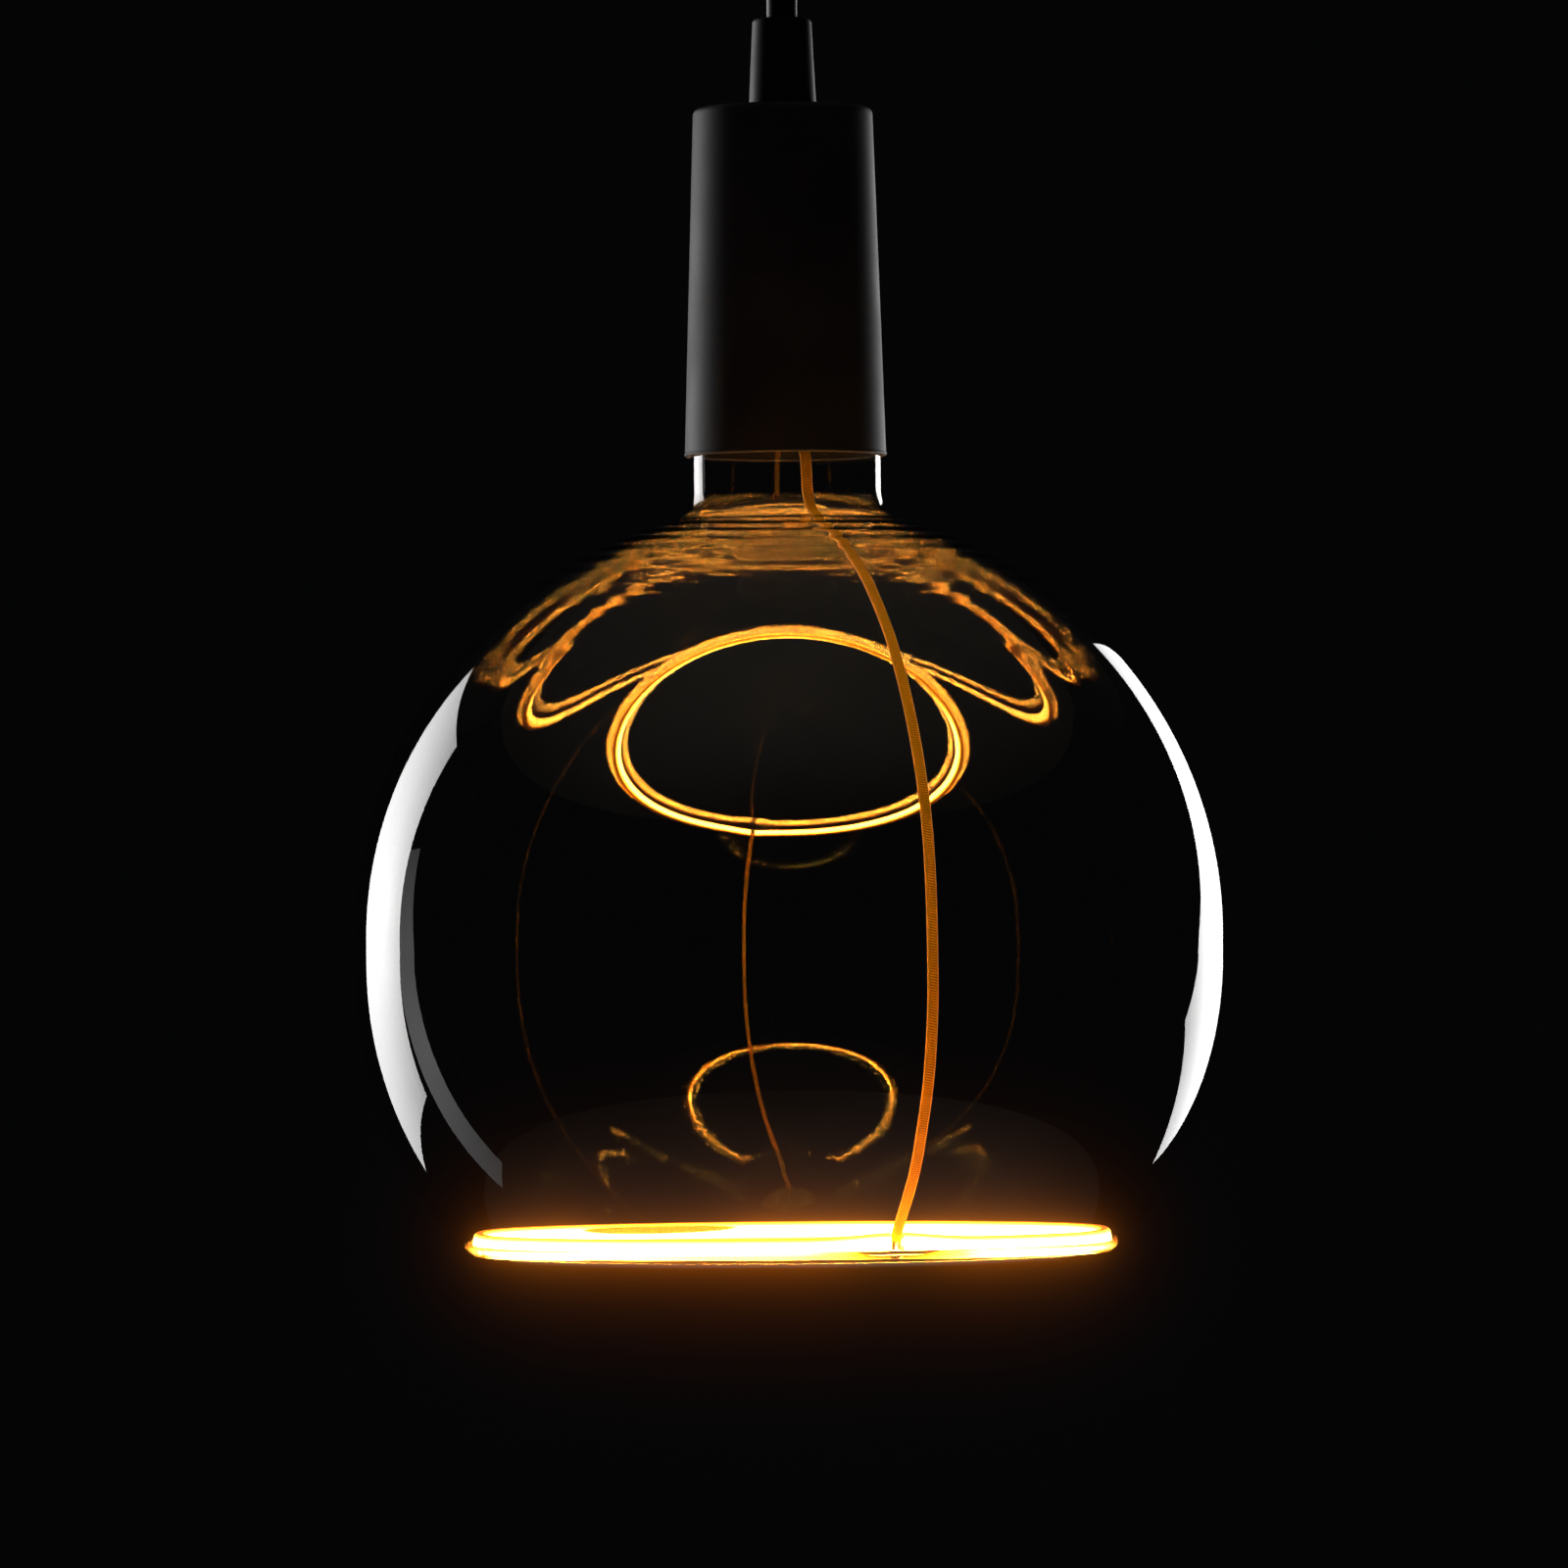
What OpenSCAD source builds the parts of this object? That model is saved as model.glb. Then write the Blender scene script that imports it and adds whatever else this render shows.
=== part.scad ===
// Globe lamp with a glowing filament ring on its flat glass bottom, in its pendant holder.
// The lamp screws out of the holder by its Edison cap; the holder hangs by a short cord
// from a ceiling cup. Everything is in millimetres with +Z up. The origin is the middle
// of the ceiling cup's top face, and the front of the lamp looks along -Y.

/* [Glass globe] */
// Outer diameter of the globe
globe_d = 200; // [190:1:212]
// Height of the straight band between the two half globes
globe_band = 5.8; // [3:0.1:9]
// Depth of the flat bottom under the middle of the lower half
globe_drop = 67.4; // [64:0.2:70]
// Outer rounding round the flat bottom
globe_corner = 4.8; // [4:0.1:7]
// Thickness of the glass
glass_wall = 1.2; // [0.9:0.1:1.4]
// Outer diameter of the glass neck
neck_d = 43.8; // [42:0.2:46]
// Straight neck that shows under the sleeve
neck_shown = 8; // [6:0.5:12]
// Hollow rounding between the neck and the globe
neck_fillet = 6.8; // [5:0.1:9]
// Height over which the hidden neck draws in
shoulder_h = 20; // [18:0.5:21]
// Outer diameter of the glass mouth in the screw cap
mouth_d = 24.8; // [24:0.1:25]
// Height of the straight glass mouth
mouth_h = 8; // [7:0.5:9]

/* [Filament ring] */
// Height of the glowing strip
strip_h = 4.6; // [4:0.1:5]
// Thickness of the glowing strip
strip_t = 2.8; // [2.4:0.1:3]
// Space between the strip and the glass beside it
strip_gap = 2.4; // [2.3:0.1:2.8]
// Clearance under the strip at the back
strip_rest = 0.2; // [0.1:0.05:0.4]
// How much higher the strip lies at the front than at the back
strip_tilt = 1.2; // [0:0.1:1.5]
// Lift of the strip's two ends at their joint
end_lift = 1.1; // [0:0.1:1.4]
// Half of the gap between the strip's two ends
end_gap = 1.5; // [1.3:0.1:2]
// Height of the circuit ribbon inside the strip
ribbon_h = 3.4; // [3:0.1:3.5]
// Thickness of the circuit ribbon inside the strip
ribbon_t = 0.4; // [0.3:0.1:0.6]
// Height of each solder lug at the strip's ends
lug_h = 3; // [2.4:0.1:3.4]
// Thickness of each solder lug
lug_t = 0.6; // [0.5:0.1:1]
// Radius of the clear adhesive bead between strip and glass
bead_r = 0.9; // [0.7:0.05:0.95]

/* [Filament lead] */
// Direction of the lead, turned from the front towards the right
lead_turn = 18.6; // [10:0.2:30]
// Width of the flat two-core lead
lead_w = 2.5; // [2.2:0.1:2.8]
// Thickness of the flat two-core lead
lead_t = 1.2; // [1:0.1:1.4]
// Half of the distance between the two lead-in wires
wire_pitch = 1.3; // [1.2:0.1:1.5]
// Diameter of the lead-in wires
wire_d = 0.6; // [0.5:0.1:0.8]
// Length of the two splice barrels
splice_h = 4; // [3:0.5:5]
// Outer diameter of the splice barrels
splice_d = 1.8; // [1.4:0.1:2]

/* [Glass stem] */
// Outer diameter of the stem tube
stem_d = 11; // [10:0.2:12]
// Wall of the stem tube
stem_wall = 1; // [0.8:0.1:1.2]
// Height of the flare from the stem tube to the mouth
flare_h = 5; // [4:0.5:6]
// Height of the flat pinch that seals the wires
pinch_h = 6; // [5:0.5:7]
// Width of the flat pinch
pinch_w = 10; // [8:0.5:10.4]
// Thickness of the flat pinch
pinch_t = 3.6; // [3:0.2:4]
// Outer diameter of the exhaust tube
exhaust_d = 3; // [2.6:0.1:3.2]

/* [Screw cap] */
// Pitch of the Edison thread, seven turns to the inch
thread_pitch = 3.629; // [3.5:0.001:3.7]
// Mean diameter of the male thread
thread_d = 25.1; // [24.9:0.1:25.3]
// Height of the thread's wave above and below its mean
thread_wave = 0.55; // [0.45:0.05:0.6]
// Height of the threaded part of the cap
cap_thread_h = 16.5; // [15:0.5:18]
// Thickness of the cap's metal
cap_wall = 0.45; // [0.3:0.05:0.5]
// Height of cement between the mouth and the cap's skirt
cement_h = 6; // [5:0.5:6.5]
// Thickness of the cement
cement_t = 0.95; // [0.8:0.05:1]
// Height of the black insulator above the cap
insulator_h = 2.4; // [2:0.1:3]
// Diameter of the centre contact
contact_d = 9.6; // [9:0.1:10]
// Height of the centre contact
contact_h = 1; // [0.8:0.1:1.4]

/* [Driver] */
// Wall of the insulating liner in the cap
liner_wall = 0.7; // [0.6:0.1:0.9]
// Height of the insulating liner
liner_h = 14.5; // [13.5:0.5:15.5]
// Thickness of the driver board
board_t = 1; // [0.8:0.1:1.2]
// Diameter of the smoothing capacitor
capacitor_d = 8; // [7:0.1:8.4]
// Height of the smoothing capacitor
capacitor_h = 9.5; // [8:0.1:10]
// Diameter of the choke coil's flanges
choke_d = 6; // [5.4:0.1:6.4]
// Height of the choke coil
choke_h = 7; // [6:0.1:8]
// Length of the bridge rectifier
rectifier_l = 4.8; // [4.4:0.1:5]
// Width of the bridge rectifier
rectifier_w = 4; // [3.6:0.1:4.4]
// Height of the bridge rectifier
rectifier_h = 2.4; // [2:0.1:2.8]
// Diameter of the fusible resistor
fuse_d = 2.6; // [2.2:0.1:2.8]
// Length of the fusible resistor
fuse_l = 6.5; // [6:0.1:7]

/* [Holder sleeve] */
// Height of the tapered sleeve
sleeve_h = 80; // [79:0.5:84]
// Thickness of the sleeve's metal
sleeve_wall = 0.7; // [0.5:0.05:0.9]
// Clearance between the sleeve's rim and the glass neck
neck_gap = 0.5; // [0.45:0.05:0.8]
// Air between the lampholder and the sleeve's narrow end
sleeve_air = 1.9; // [1.5:0.1:2.4]
// Radius of the rolled bead on the sleeve's rim
rim_bead = 0.5; // [0.45:0.05:0.6]
// Rounding of the sleeve's top edge
sleeve_round = 1.5; // [1:0.1:2.5]

/* [Lampholder] */
// Outer diameter of the lampholder
socket_d = 36; // [35:0.2:37]
// Clearance between the male and female threads
thread_gap = 0.4; // [0.35:0.05:0.5]
// Thickness of the threaded shell's metal
shell_wall = 0.5; // [0.4:0.05:0.6]
// Height of the threaded shell
shell_h = 22.8; // [22.4:0.2:24]
// Length of the skirt that covers the threaded shell's mouth
skirt_cover = 4.7; // [3:0.1:6]
// Height of the ceramic contact block
block_h = 7; // [6.4:0.1:7.2]
// Wall of the lampholder's cap
socket_cap_wall = 1.5; // [1.2:0.1:1.8]
// Height of the terminal chamber over the contact block
chamber_h = 5; // [4.8:0.1:5.6]
// Height of the hub on the lampholder's cap, which the lock nut clamps
hub_h = 3.85; // [3.4:0.05:4.8]
// Diameter of the hub on the lampholder's cap
hub_d = 15; // [14:0.5:17]
// Thickness of the contact springs
spring_t = 0.5; // [0.4:0.1:0.6]
// Width of the contact springs
spring_w = 4; // [3:0.5:5]
// Length of each terminal along the block
terminal_l = 8; // [7.5:0.5:9]
// Width of each terminal
terminal_w = 5; // [4:0.5:5.5]
// Height of each terminal
terminal_h = 5.4; // [5:0.1:5.8]
// Depth of the pockets that hold the terminals
pocket_h = 4; // [3:0.5:4.5]
// Diameter of the terminal screws
terminal_screw_d = 2.6; // [2.4:0.2:3]

/* [Cord grip] */
// Diameter of the grip where it meets the sleeve
grip_base_d = 15.5; // [15:0.1:18]
// Diameter of the grip's narrow end
grip_top_d = 13.5; // [12.6:0.1:15]
// Height of the grip
grip_h = 20.7; // [18:0.1:24]
// Rounding of the grip's narrow end
grip_round = 1; // [0.5:0.1:1.4]
// Thickness of the lip at the grip's narrow end
grip_lip = 2; // [1.5:0.1:3]
// Outer diameter of the hollow threaded nipple
nipple_d = 10; // [9.8:0.1:10.4]
// Length of nipple inside the grip
nipple_in = 9; // [7:0.5:11]
// Width across the flats of the lock nuts
nut_flats = 14; // [13:0.5:15]
// Height of the lock nuts
nut_h = 3; // [2.5:0.1:3.2]
// Thickness of the toothed washer
washer_t = 0.6; // [0.5:0.1:0.8]
// Outer diameter of the toothed washer
washer_d = 17; // [16:0.5:18]
// Number of teeth on the washer
washer_teeth = 12; // [8:1:16]
// Thickness of the earth tag
tag_t = 0.6; // [0.5:0.1:0.8]

/* [Cord and ceiling cup] */
// Outer diameter of the supply cord
cord_d = 7; // [6.4:0.1:7.2]
// Outer diameter of each insulated core
core_d = 2.2; // [2:0.1:2.4]
// Outer diameter of the ceiling cup
cup_d = 80; // [70:1:100]
// Height of the ceiling cup
cup_h = 24; // [22:0.5:32]
// Thickness of the ceiling cup's metal
cup_wall = 0.8; // [0.6:0.1:1.2]
// Rounding of the ceiling cup's lower edge
cup_round = 5; // [3:0.5:8]
// Height of the cord gland under the cup
gland_h = 14; // [12:0.5:18]
// Width of the ceiling bracket
bracket_w = 16; // [14:0.5:20]
// Thickness of the ceiling bracket
bracket_t = 1.5; // [1.2:0.1:2]
// Length of the bracket's two legs
bracket_leg = 12; // [10:0.5:14]
// Distance between the bracket's two screw slots
slot_spacing = 50; // [44:1:54]
// Length of each screw slot
slot_l = 12; // [10:0.5:14]
// Width of each screw slot
slot_w = 5; // [4:0.2:6]
// Diameter of the screws that hold the cup
cup_screw_d = 4; // [3:0.5:5]
// Length of the connector block
connector_l = 24; // [22:0.5:28]
// Width of the connector block
connector_w = 15; // [12:0.5:15.6]
// Height of the connector block
connector_h = 9; // [8:0.5:10]

/* [Hidden] */

// Fineness of big, middle and small round forms
big_fn = 120;
mid_fn = 64;
small_fn = 32;
// Air left between pieces that touch, and how far a cutting tool passes a face
touch = 0.05;
past = 1;

// The cord's free stretch, from the gland's mouth down to the grip's mouth
cord_route = [[0, 0, 0], [0, 0, -12], [0, 0, -25], [0, 0, -38], [0, 0, -50]];
cord_free = -cord_route[len(cord_route) - 1][2];
cord_sides = 12;

// Levels down from the ceiling
gland_z = -cup_h;
cord_top_z = gland_z - gland_h;
grip_top_z = cord_top_z - cord_free;
sleeve_top_z = grip_top_z - grip_h;
rim_z = sleeve_top_z - sleeve_h;

// Levels above the sleeve's rim, from its narrow end down: the lampholder hangs under the
// clamped washer, tag and nut, and the bulb's cap is screwed up into it
washer_low = sleeve_h - sleeve_wall - washer_t - touch;
tag_low = washer_low - tag_t - touch;
nut_low = tag_low - nut_h - touch;
hub_top = nut_low - touch;
plate_top = hub_top - hub_h;
chamber_top = plate_top - socket_cap_wall;
block_top = chamber_top - chamber_h;
block_low = block_top - block_h;
shell_top = block_low - touch;
shell_low = shell_top - shell_h;
thread_start = 0.5;
thread_low = shell_low - thread_start;
collar_h = 1.2;
stem_top = thread_low - collar_h;
stem_lip = 1;
mouth_top = stem_top - stem_lip;
shoulder_top = mouth_top - mouth_h;
neck_in = shoulder_top - shoulder_h;

// Radii and levels of the glass
globe_r = globe_d / 2;
neck_r = neck_d / 2;
mouth_r = mouth_d / 2;
mouth_ri = mouth_r - glass_wall;
fillet_x = neck_r + neck_fillet;
fillet_y = -neck_shown;
upper_y = fillet_y - sqrt(pow(globe_r + neck_fillet, 2) - pow(fillet_x, 2));
lower_y = upper_y - globe_band;
flat_y = lower_y - globe_drop;
shoulder_in = neck_r - mouth_r;
shoulder_turn = 2 * atan(shoulder_in / shoulder_h);
shoulder_sum = shoulder_h / sin(shoulder_turn);
shoulder_a = shoulder_sum * 0.45;
shoulder_b = shoulder_sum - shoulder_a;

// Filament ring
strip_level = glass_wall + strip_rest + strip_h / 2;
strip_out = sqrt(pow(globe_r - glass_wall, 2) - pow(globe_drop - strip_level, 2)) - strip_gap;
strip_mid = strip_out - strip_t / 2;
strip_steps = 84;
strip_sides = 12;
end_spread = 9;
end_angle = asin(end_gap / strip_mid);
lug_in = 0.3;

// Glass stem and lead-in wires
stem_r = stem_d / 2;
tube_top = mouth_top - flare_h;
pinch_top = tube_top - 3;
pinch_low = pinch_top - pinch_h;
exhaust_back = 2.7;
exhaust_top = stem_top + 2.2;
splice_top = pinch_low - touch;
splice_low = splice_top - splice_h;
lead_top = splice_low - touch;

// The lead's route: down from the splices in distance from the axis and share of the fall
// to the globe, then along the glass in polar angle and stand-off, then down to the ring
lead_drop = [[0, 0], [0.6, 0.115], [4, 0.25], [10, 0.348], [13.6, 0.46], [14.6, 0.611],
    [15.4, 0.768], [18.2, 0.9]];
lead_upper = [[14, 1.6], [21, 1.6], [29, 1.6], [38, 1.4], [50, 1.2], [64, 1.1], [78, 1]];
lead_reach = globe_r - glass_wall - lead_upper[0][1];
lead_fall = lead_top - upper_y - lead_reach * cos(lead_upper[0][0]);
lead_lower = [[-2, 1], [-13, 1.1], [-21, 2], [-29, 3]];
lead_tail = [[1.2, 2.4], [0, 0]];
lead_steps = 2;

// Screw cap
thread_r = thread_d / 2;
cap_ri = thread_r - thread_wave - cap_wall;
skirt_ri = mouth_r + cement_t + touch;
skirt_r = skirt_ri + cap_wall;
cap_low = mouth_top - cement_h;
thread_top = thread_low + cap_thread_h;
cap_cone_h = 1.6;
cap_top = thread_top + cap_cone_h;
cap_lip_r = 10;
cap_hole_r = 8.8;
insulator_top = cap_top + insulator_h;
contact_top = insulator_top + touch + contact_h;
contact_wire_r = 0.4;
thread_sides = 28;
thread_rings = 8;

// Driver inside the cap
liner_r = cap_ri - 0.1;
liner_ri = liner_r - liner_wall;
liner_low = thread_low + 0.3;
ledge_low = liner_low + 1.2;
ledge_h = 1;
board_low = ledge_low + ledge_h + touch;
board_top = board_low + board_t;
board_r = liner_ri - 0.1;
part_low = board_top + touch;
capacitor_at = [-4.6, -2.8];
choke_at = [4.4, -4.6];
rectifier_at = [4.8, 3];
fuse_at = [-3.6, 5.4];
shell_wire_r = liner_ri - 0.6;

// Lampholder
socket_r = socket_d / 2;
shell_ri = thread_r + thread_gap;
shell_r = shell_ri + thread_wave + shell_wall;
bore_r = max(shell_r, skirt_r + 0.3) + 0.1;
body_low = shell_low - skirt_cover;
block_r = bore_r - 0.1;
spigot_r = socket_r - socket_cap_wall - 0.1;
spigot_low = block_top - 4.6;
terminal_x = 8.2;
wire_hole_y = 1.9;
terminal_low = block_top - pocket_h + touch;
terminal_top = terminal_low + terminal_h;
spring_low = contact_top + touch;
spring_x = 6.6;
link_x = 9.2;
link_foot = 3;
shell_hole_r = 8.5;

// Sleeve
sleeve_rim_r = neck_r + neck_gap + sleeve_wall;
sleeve_top_r = socket_r + sleeve_air + sleeve_wall;
tag_y = 10.5;
tag_r = 8;

// Grip, gland and nipples
nipple_r = nipple_d / 2;
nipple_ri = cord_d / 2 + 0.25;
nipple_low = plate_top + 1;
nipple_top = sleeve_h + nipple_in;
screw_fit = 0.06;
grip_bore_r = nipple_r + screw_fit;
cord_hole_r = cord_d / 2 + 0.2;
cord_end_low = nipple_low - 0.5;
gland_nipple_in = 6;
gland_nut_z = gland_z + cup_wall + touch;
gland_nipple_top = gland_nut_z + nut_h + 1;
cup_cord_z = gland_nipple_top + 0.5;

// Ceiling cup
cup_r = cup_d / 2;
leg_x = sqrt(pow(cup_r - cup_wall - 0.3, 2) - pow(bracket_w / 2, 2));
cup_screw_z = -bracket_leg / 2 - bracket_t;
connector_z = -bracket_t - touch - connector_h;
connector_pole = 7.4;
connector_hole_r = core_d / 2 + 0.15;
connector_screw_r = 1.5;

// Colours
glass_c = [0.86, 0.87, 0.78, 0.35];
black_c = "#1c1c1e";
glow_c = "#ffb347";
nickel_c = "#b9bbbd";
brass_c = "#c9a24e";
steel_c = "#9a9da1";
ceramic_c = "#e9e4d8";

// Points of a circle's arc, from angle a to angle b
function arc(x, y, r, a, b, n) = [for (k = [0:n]) let (t = a + (b - a) * k / n)
    [x + r * cos(t), y + r * sin(t)]];

// A point of a smooth curve that passes through four points in a row
function smooth(a, b, c, d, t) = 0.5 * (2 * b + (c - a) * t + (2 * a - 5 * b + 4 * c - d) * t * t
    + (3 * b - a - 3 * c + d) * t * t * t);

// The smooth curve through a list of points, with n steps between each two
function smooth_path(p, n) = concat(
    [for (i = [0:len(p) - 2]) for (k = [0:n - 1])
        smooth(p[max(i - 1, 0)], p[i], p[i + 1], p[min(i + 2, len(p) - 1)], k / n)],
    [p[len(p) - 1]]);

// A vector of length one
function unit(v) = v / norm(v);

// A closed solid through rings of points that turn by the right hand about the way they go
module loft(rings) {
    n = len(rings[0]);
    m = len(rings);
    points = [for (ring = rings) each ring];
    sides = [for (i = [0:m - 2]) for (j = [0:n - 1]) let (a = i * n + j, b = i * n + (j + 1) % n)
        each [[a, a + n, b + n], [a, b + n, b]]];
    start = [for (j = [1:n - 2]) [0, j, j + 1]];
    end = [for (j = [1:n - 2]) [(m - 1) * n, (m - 1) * n + j + 1, (m - 1) * n + j]];
    polyhedron(points, concat(sides, start, end));
}

// A round tube along a path that never runs along the aside direction
module tube(path, r, sides = 8, aside = [0, 1, 0]) {
    last = len(path) - 1;
    loft([for (i = [0:last])
        let (way = unit(path[min(i + 1, last)] - path[max(i - 1, 0)]),
            across = unit(aside - (aside * way) * way),
            up = cross(way, across))
        [for (j = [0:sides - 1]) let (u = 360 * j / sides)
            path[i] + r * (cos(u) * across + sin(u) * up)]]);
}

// Half outline of a tapered cup, drawn inwards by g, with its open end at height 0
module taper_outline(base, top, h, c, g = 0, down = 0) {
    turn = atan((base - top) / h);
    cy = h - c;
    cx = base - cy * tan(turn) - c / cos(turn);
    polygon([[0, -down], [base - g / cos(turn) + down * tan(turn), -down],
        [cx + (c - g) * cos(turn), cy + (c - g) * sin(turn)], [cx, cy], [cx, h - g], [0, h - g]]);
    intersection() {
        translate([cx, cy]) circle(c - g, $fn = mid_fn);
        translate([0, -down]) square([base + down, h + down]);
    }
}

module at_rim() translate([0, 0, rim_z]) children();
module at_lead() at_rim() rotate(lead_turn) children();
module both_sides(x) for (side = [-1, 1]) translate([side * x, 0, 0]) children();
module rod(r, low, high, fn = small_fn) translate([0, 0, low]) cylinder(r = r, h = high - low, $fn = fn);
module pipe(r, ri, low, high, fn = mid_fn) difference() {
    rod(r, low, high, fn);
    rod(ri, low - past, high + past, fn);
}
module block(l, w, low, high) translate([-l / 2, -w / 2, low]) cube([l, w, high - low]);
module lathe(points, fn = mid_fn) rotate_extrude($fn = fn) polygon(points);

// Half outline of the blown glass, drawn inwards by g
module glass_outline(g) {
    ball_r = globe_r - g;
    way = [fillet_x, fillet_y - upper_y] / (globe_r + neck_fillet);
    join = [0, upper_y] + ball_r * way;
    corner_turn = -asin((globe_drop - globe_corner) / (globe_r - globe_corner));
    corner = [0, lower_y] + (globe_r - globe_corner) * [cos(corner_turn), sin(corner_turn)];
    round_a = [neck_r - shoulder_a, neck_in];
    round_b = [mouth_r + shoulder_b, shoulder_top];
    turn_at = round_a + (shoulder_a - g) * [cos(shoulder_turn), sin(shoulder_turn)];
    intersection() {
        union() {
            intersection() {
                translate([0, upper_y]) circle(ball_r, $fn = big_fn);
                translate([0, upper_y]) square([globe_r, join[1] - upper_y]);
            }
            translate([0, lower_y]) square([ball_r, globe_band]);
            difference() {
                intersection() {
                    translate([0, lower_y]) circle(ball_r, $fn = big_fn);
                    translate([0, flat_y + g]) square([globe_r, globe_drop - g]);
                }
                polygon(concat([corner + globe_r * [cos(corner_turn), sin(corner_turn)]],
                    arc(corner[0], corner[1], globe_corner - g, corner_turn, -90, 8),
                    [[corner[0], flat_y - past], [globe_d, flat_y - past]]));
            }
            difference() {
                polygon([[0, upper_y], join, [fillet_x, fillet_y], [0, fillet_y]]);
                translate([fillet_x, fillet_y]) circle(neck_fillet + g, $fn = mid_fn);
            }
            translate([0, fillet_y - past]) square([neck_r - g, neck_in - fillet_y + past]);
            polygon([[0, fillet_y], [round_a[0], neck_in - past], round_a, turn_at, [0, turn_at[1]]]);
            intersection() {
                translate(round_a) circle(shoulder_a - g, $fn = mid_fn);
                translate([0, neck_in - past]) square([neck_r, turn_at[1] - neck_in + past]);
            }
            difference() {
                polygon([[0, neck_in], turn_at, round_b, [0, round_b[1]]]);
                translate(round_b) circle(shoulder_b + g, $fn = mid_fn);
            }
            translate([0, shoulder_top - past])
                square([mouth_r - g, mouth_h + past + (g > 0 ? past : 0)]);
        }
        translate([0, flat_y - past]) square([globe_d, globe_d * 2]);
    }
}
module glass_globe() color(glass_c) at_rim() rotate_extrude($fn = big_fn) difference() {
    glass_outline(0);
    glass_outline(glass_wall);
}

// The flared stem is sealed to the mouth; its flat pinch holds the two wires
module glass_stem() color(glass_c) at_lead() difference() {
    flare_r = mouth_ri - 0.15;
    union() {
        lathe([[mouth_r, mouth_top + touch], [mouth_r, stem_top], [flare_r - stem_wall, stem_top],
            [stem_r - stem_wall, tube_top], [stem_r - stem_wall, pinch_top - past],
            [stem_r, pinch_top - past], [stem_r, tube_top], [flare_r, mouth_top + touch]]);
        rod(stem_r, pinch_top - past, pinch_top);
        translate([0, exhaust_back, 0]) rod(exhaust_d / 2, pinch_top - past, exhaust_top);
        translate([0, 0, pinch_low]) linear_extrude(pinch_h) {
            square([pinch_w - pinch_t, pinch_t], center = true);
            both_sides((pinch_w - pinch_t) / 2) circle(d = pinch_t, $fn = small_fn);
        }
    }
    both_sides(wire_pitch) rod(wire_d / 2 + touch, pinch_low - past, pinch_top + past);
}

// Lift of the strip at angle t: a slight tilt, and a rise of both ends towards their joint
function from_joint(t) = min(t + 90, 270 - t);
function strip_lift(t) = strip_tilt * (1 + cos(t + 90 + lead_turn)) / 2
    + end_lift * exp(-pow(from_joint(t) / end_spread, 2));
joint_y = flat_y + strip_level + strip_tilt * (1 + cos(lead_turn)) / 2 + end_lift;

// One ring of the strip at angle t, with half height a, half thickness b and soft corners
function soft(v, power) = sign(v) * pow(abs(v), power);
function strip_ring(t, a, b, sides, power) = [for (j = [0:sides - 1])
    let (u = 360 * (j + 0.5) / sides, r = strip_mid + b * soft(sin(u), power))
    [r * cos(t), r * sin(t), flat_y + strip_level + strip_lift(t) + a * soft(cos(u), power)]];
module strip_loft(a, b, sides, power, longer = 0) {
    first = end_angle - longer - 90;
    span = 360 - 2 * (end_angle - longer);
    loft([for (i = [0:strip_steps]) strip_ring(first + span * i / strip_steps, a, b, sides, power)]);
}
module filament_strip() color(glow_c) at_lead() difference() {
    strip_loft(strip_h / 2, strip_t / 2, strip_sides, 0.7);
    strip_loft(ribbon_h / 2 + touch, ribbon_t / 2 + touch, 4, 0, 0.3);
}
module filament_ribbon() color("#e8dcae") at_lead() strip_loft(ribbon_h / 2, ribbon_t / 2, 4, 0);
module filament_lugs() color(nickel_c) at_lead() both_sides((lug_in + end_gap - touch) / 2)
    translate([0, -strip_mid, 0])
        block(end_gap - touch - lug_in, lug_t, joint_y - lug_h / 2, joint_y + lug_h / 2);
module filament_adhesive() color(glass_c) at_rim() {
    bead_x = strip_out + 2 * touch + bead_r;
    bead_y = lower_y - sqrt(pow(globe_r - glass_wall - bead_r - touch, 2) - pow(bead_x, 2));
    rotate_extrude($fn = big_fn) translate([bead_x, bead_y]) circle(bead_r, $fn = small_fn);
}

// The lead lies in the upright plane through the axis and the strip's joint
lead_end = [strip_mid, joint_y + lug_h / 2 + touch];
lead_glass = globe_r - glass_wall;
lead_points = concat(
    [for (p = lead_drop) [p[0], lead_top - p[1] * lead_fall]],
    [for (q = lead_upper) [0, upper_y] + (lead_glass - q[1]) * [sin(q[0]), cos(q[0])]],
    [for (q = lead_lower) [0, lower_y] + (lead_glass - q[1]) * [cos(q[0]), sin(q[0])]],
    [for (p = lead_tail) lead_end + p]);
module filament_lead() color("#a06a20") at_lead() {
    path = smooth_path(lead_points, lead_steps);
    last = len(path) - 1;
    a = lead_w / 2;
    b = lead_t / 2;
    c = lead_t / 4;
    section = [[a, b - c], [a - c, b], [c - a, b], [-a, b - c],
        [-a, c - b], [c - a, -b], [a - c, -b], [a, c - b]];
    loft([for (i = [0:last])
        let (way = i == 0 ? [0, -1] : i == last ? [0, -1] : unit(path[i + 1] - path[i - 1]))
        [for (q = section) [q[0], -path[i][0] + q[1] * way[1], path[i][1] + q[1] * way[0]]]]);
}
module lead_splices() color(nickel_c) at_lead() both_sides(wire_pitch)
    pipe(splice_d / 2, wire_d / 2 + touch, splice_low, splice_top, small_fn);
module lead_in_wires() color(nickel_c) at_lead() both_sides(wire_pitch)
    rod(wire_d / 2, splice_low + touch, board_low - touch);

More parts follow.
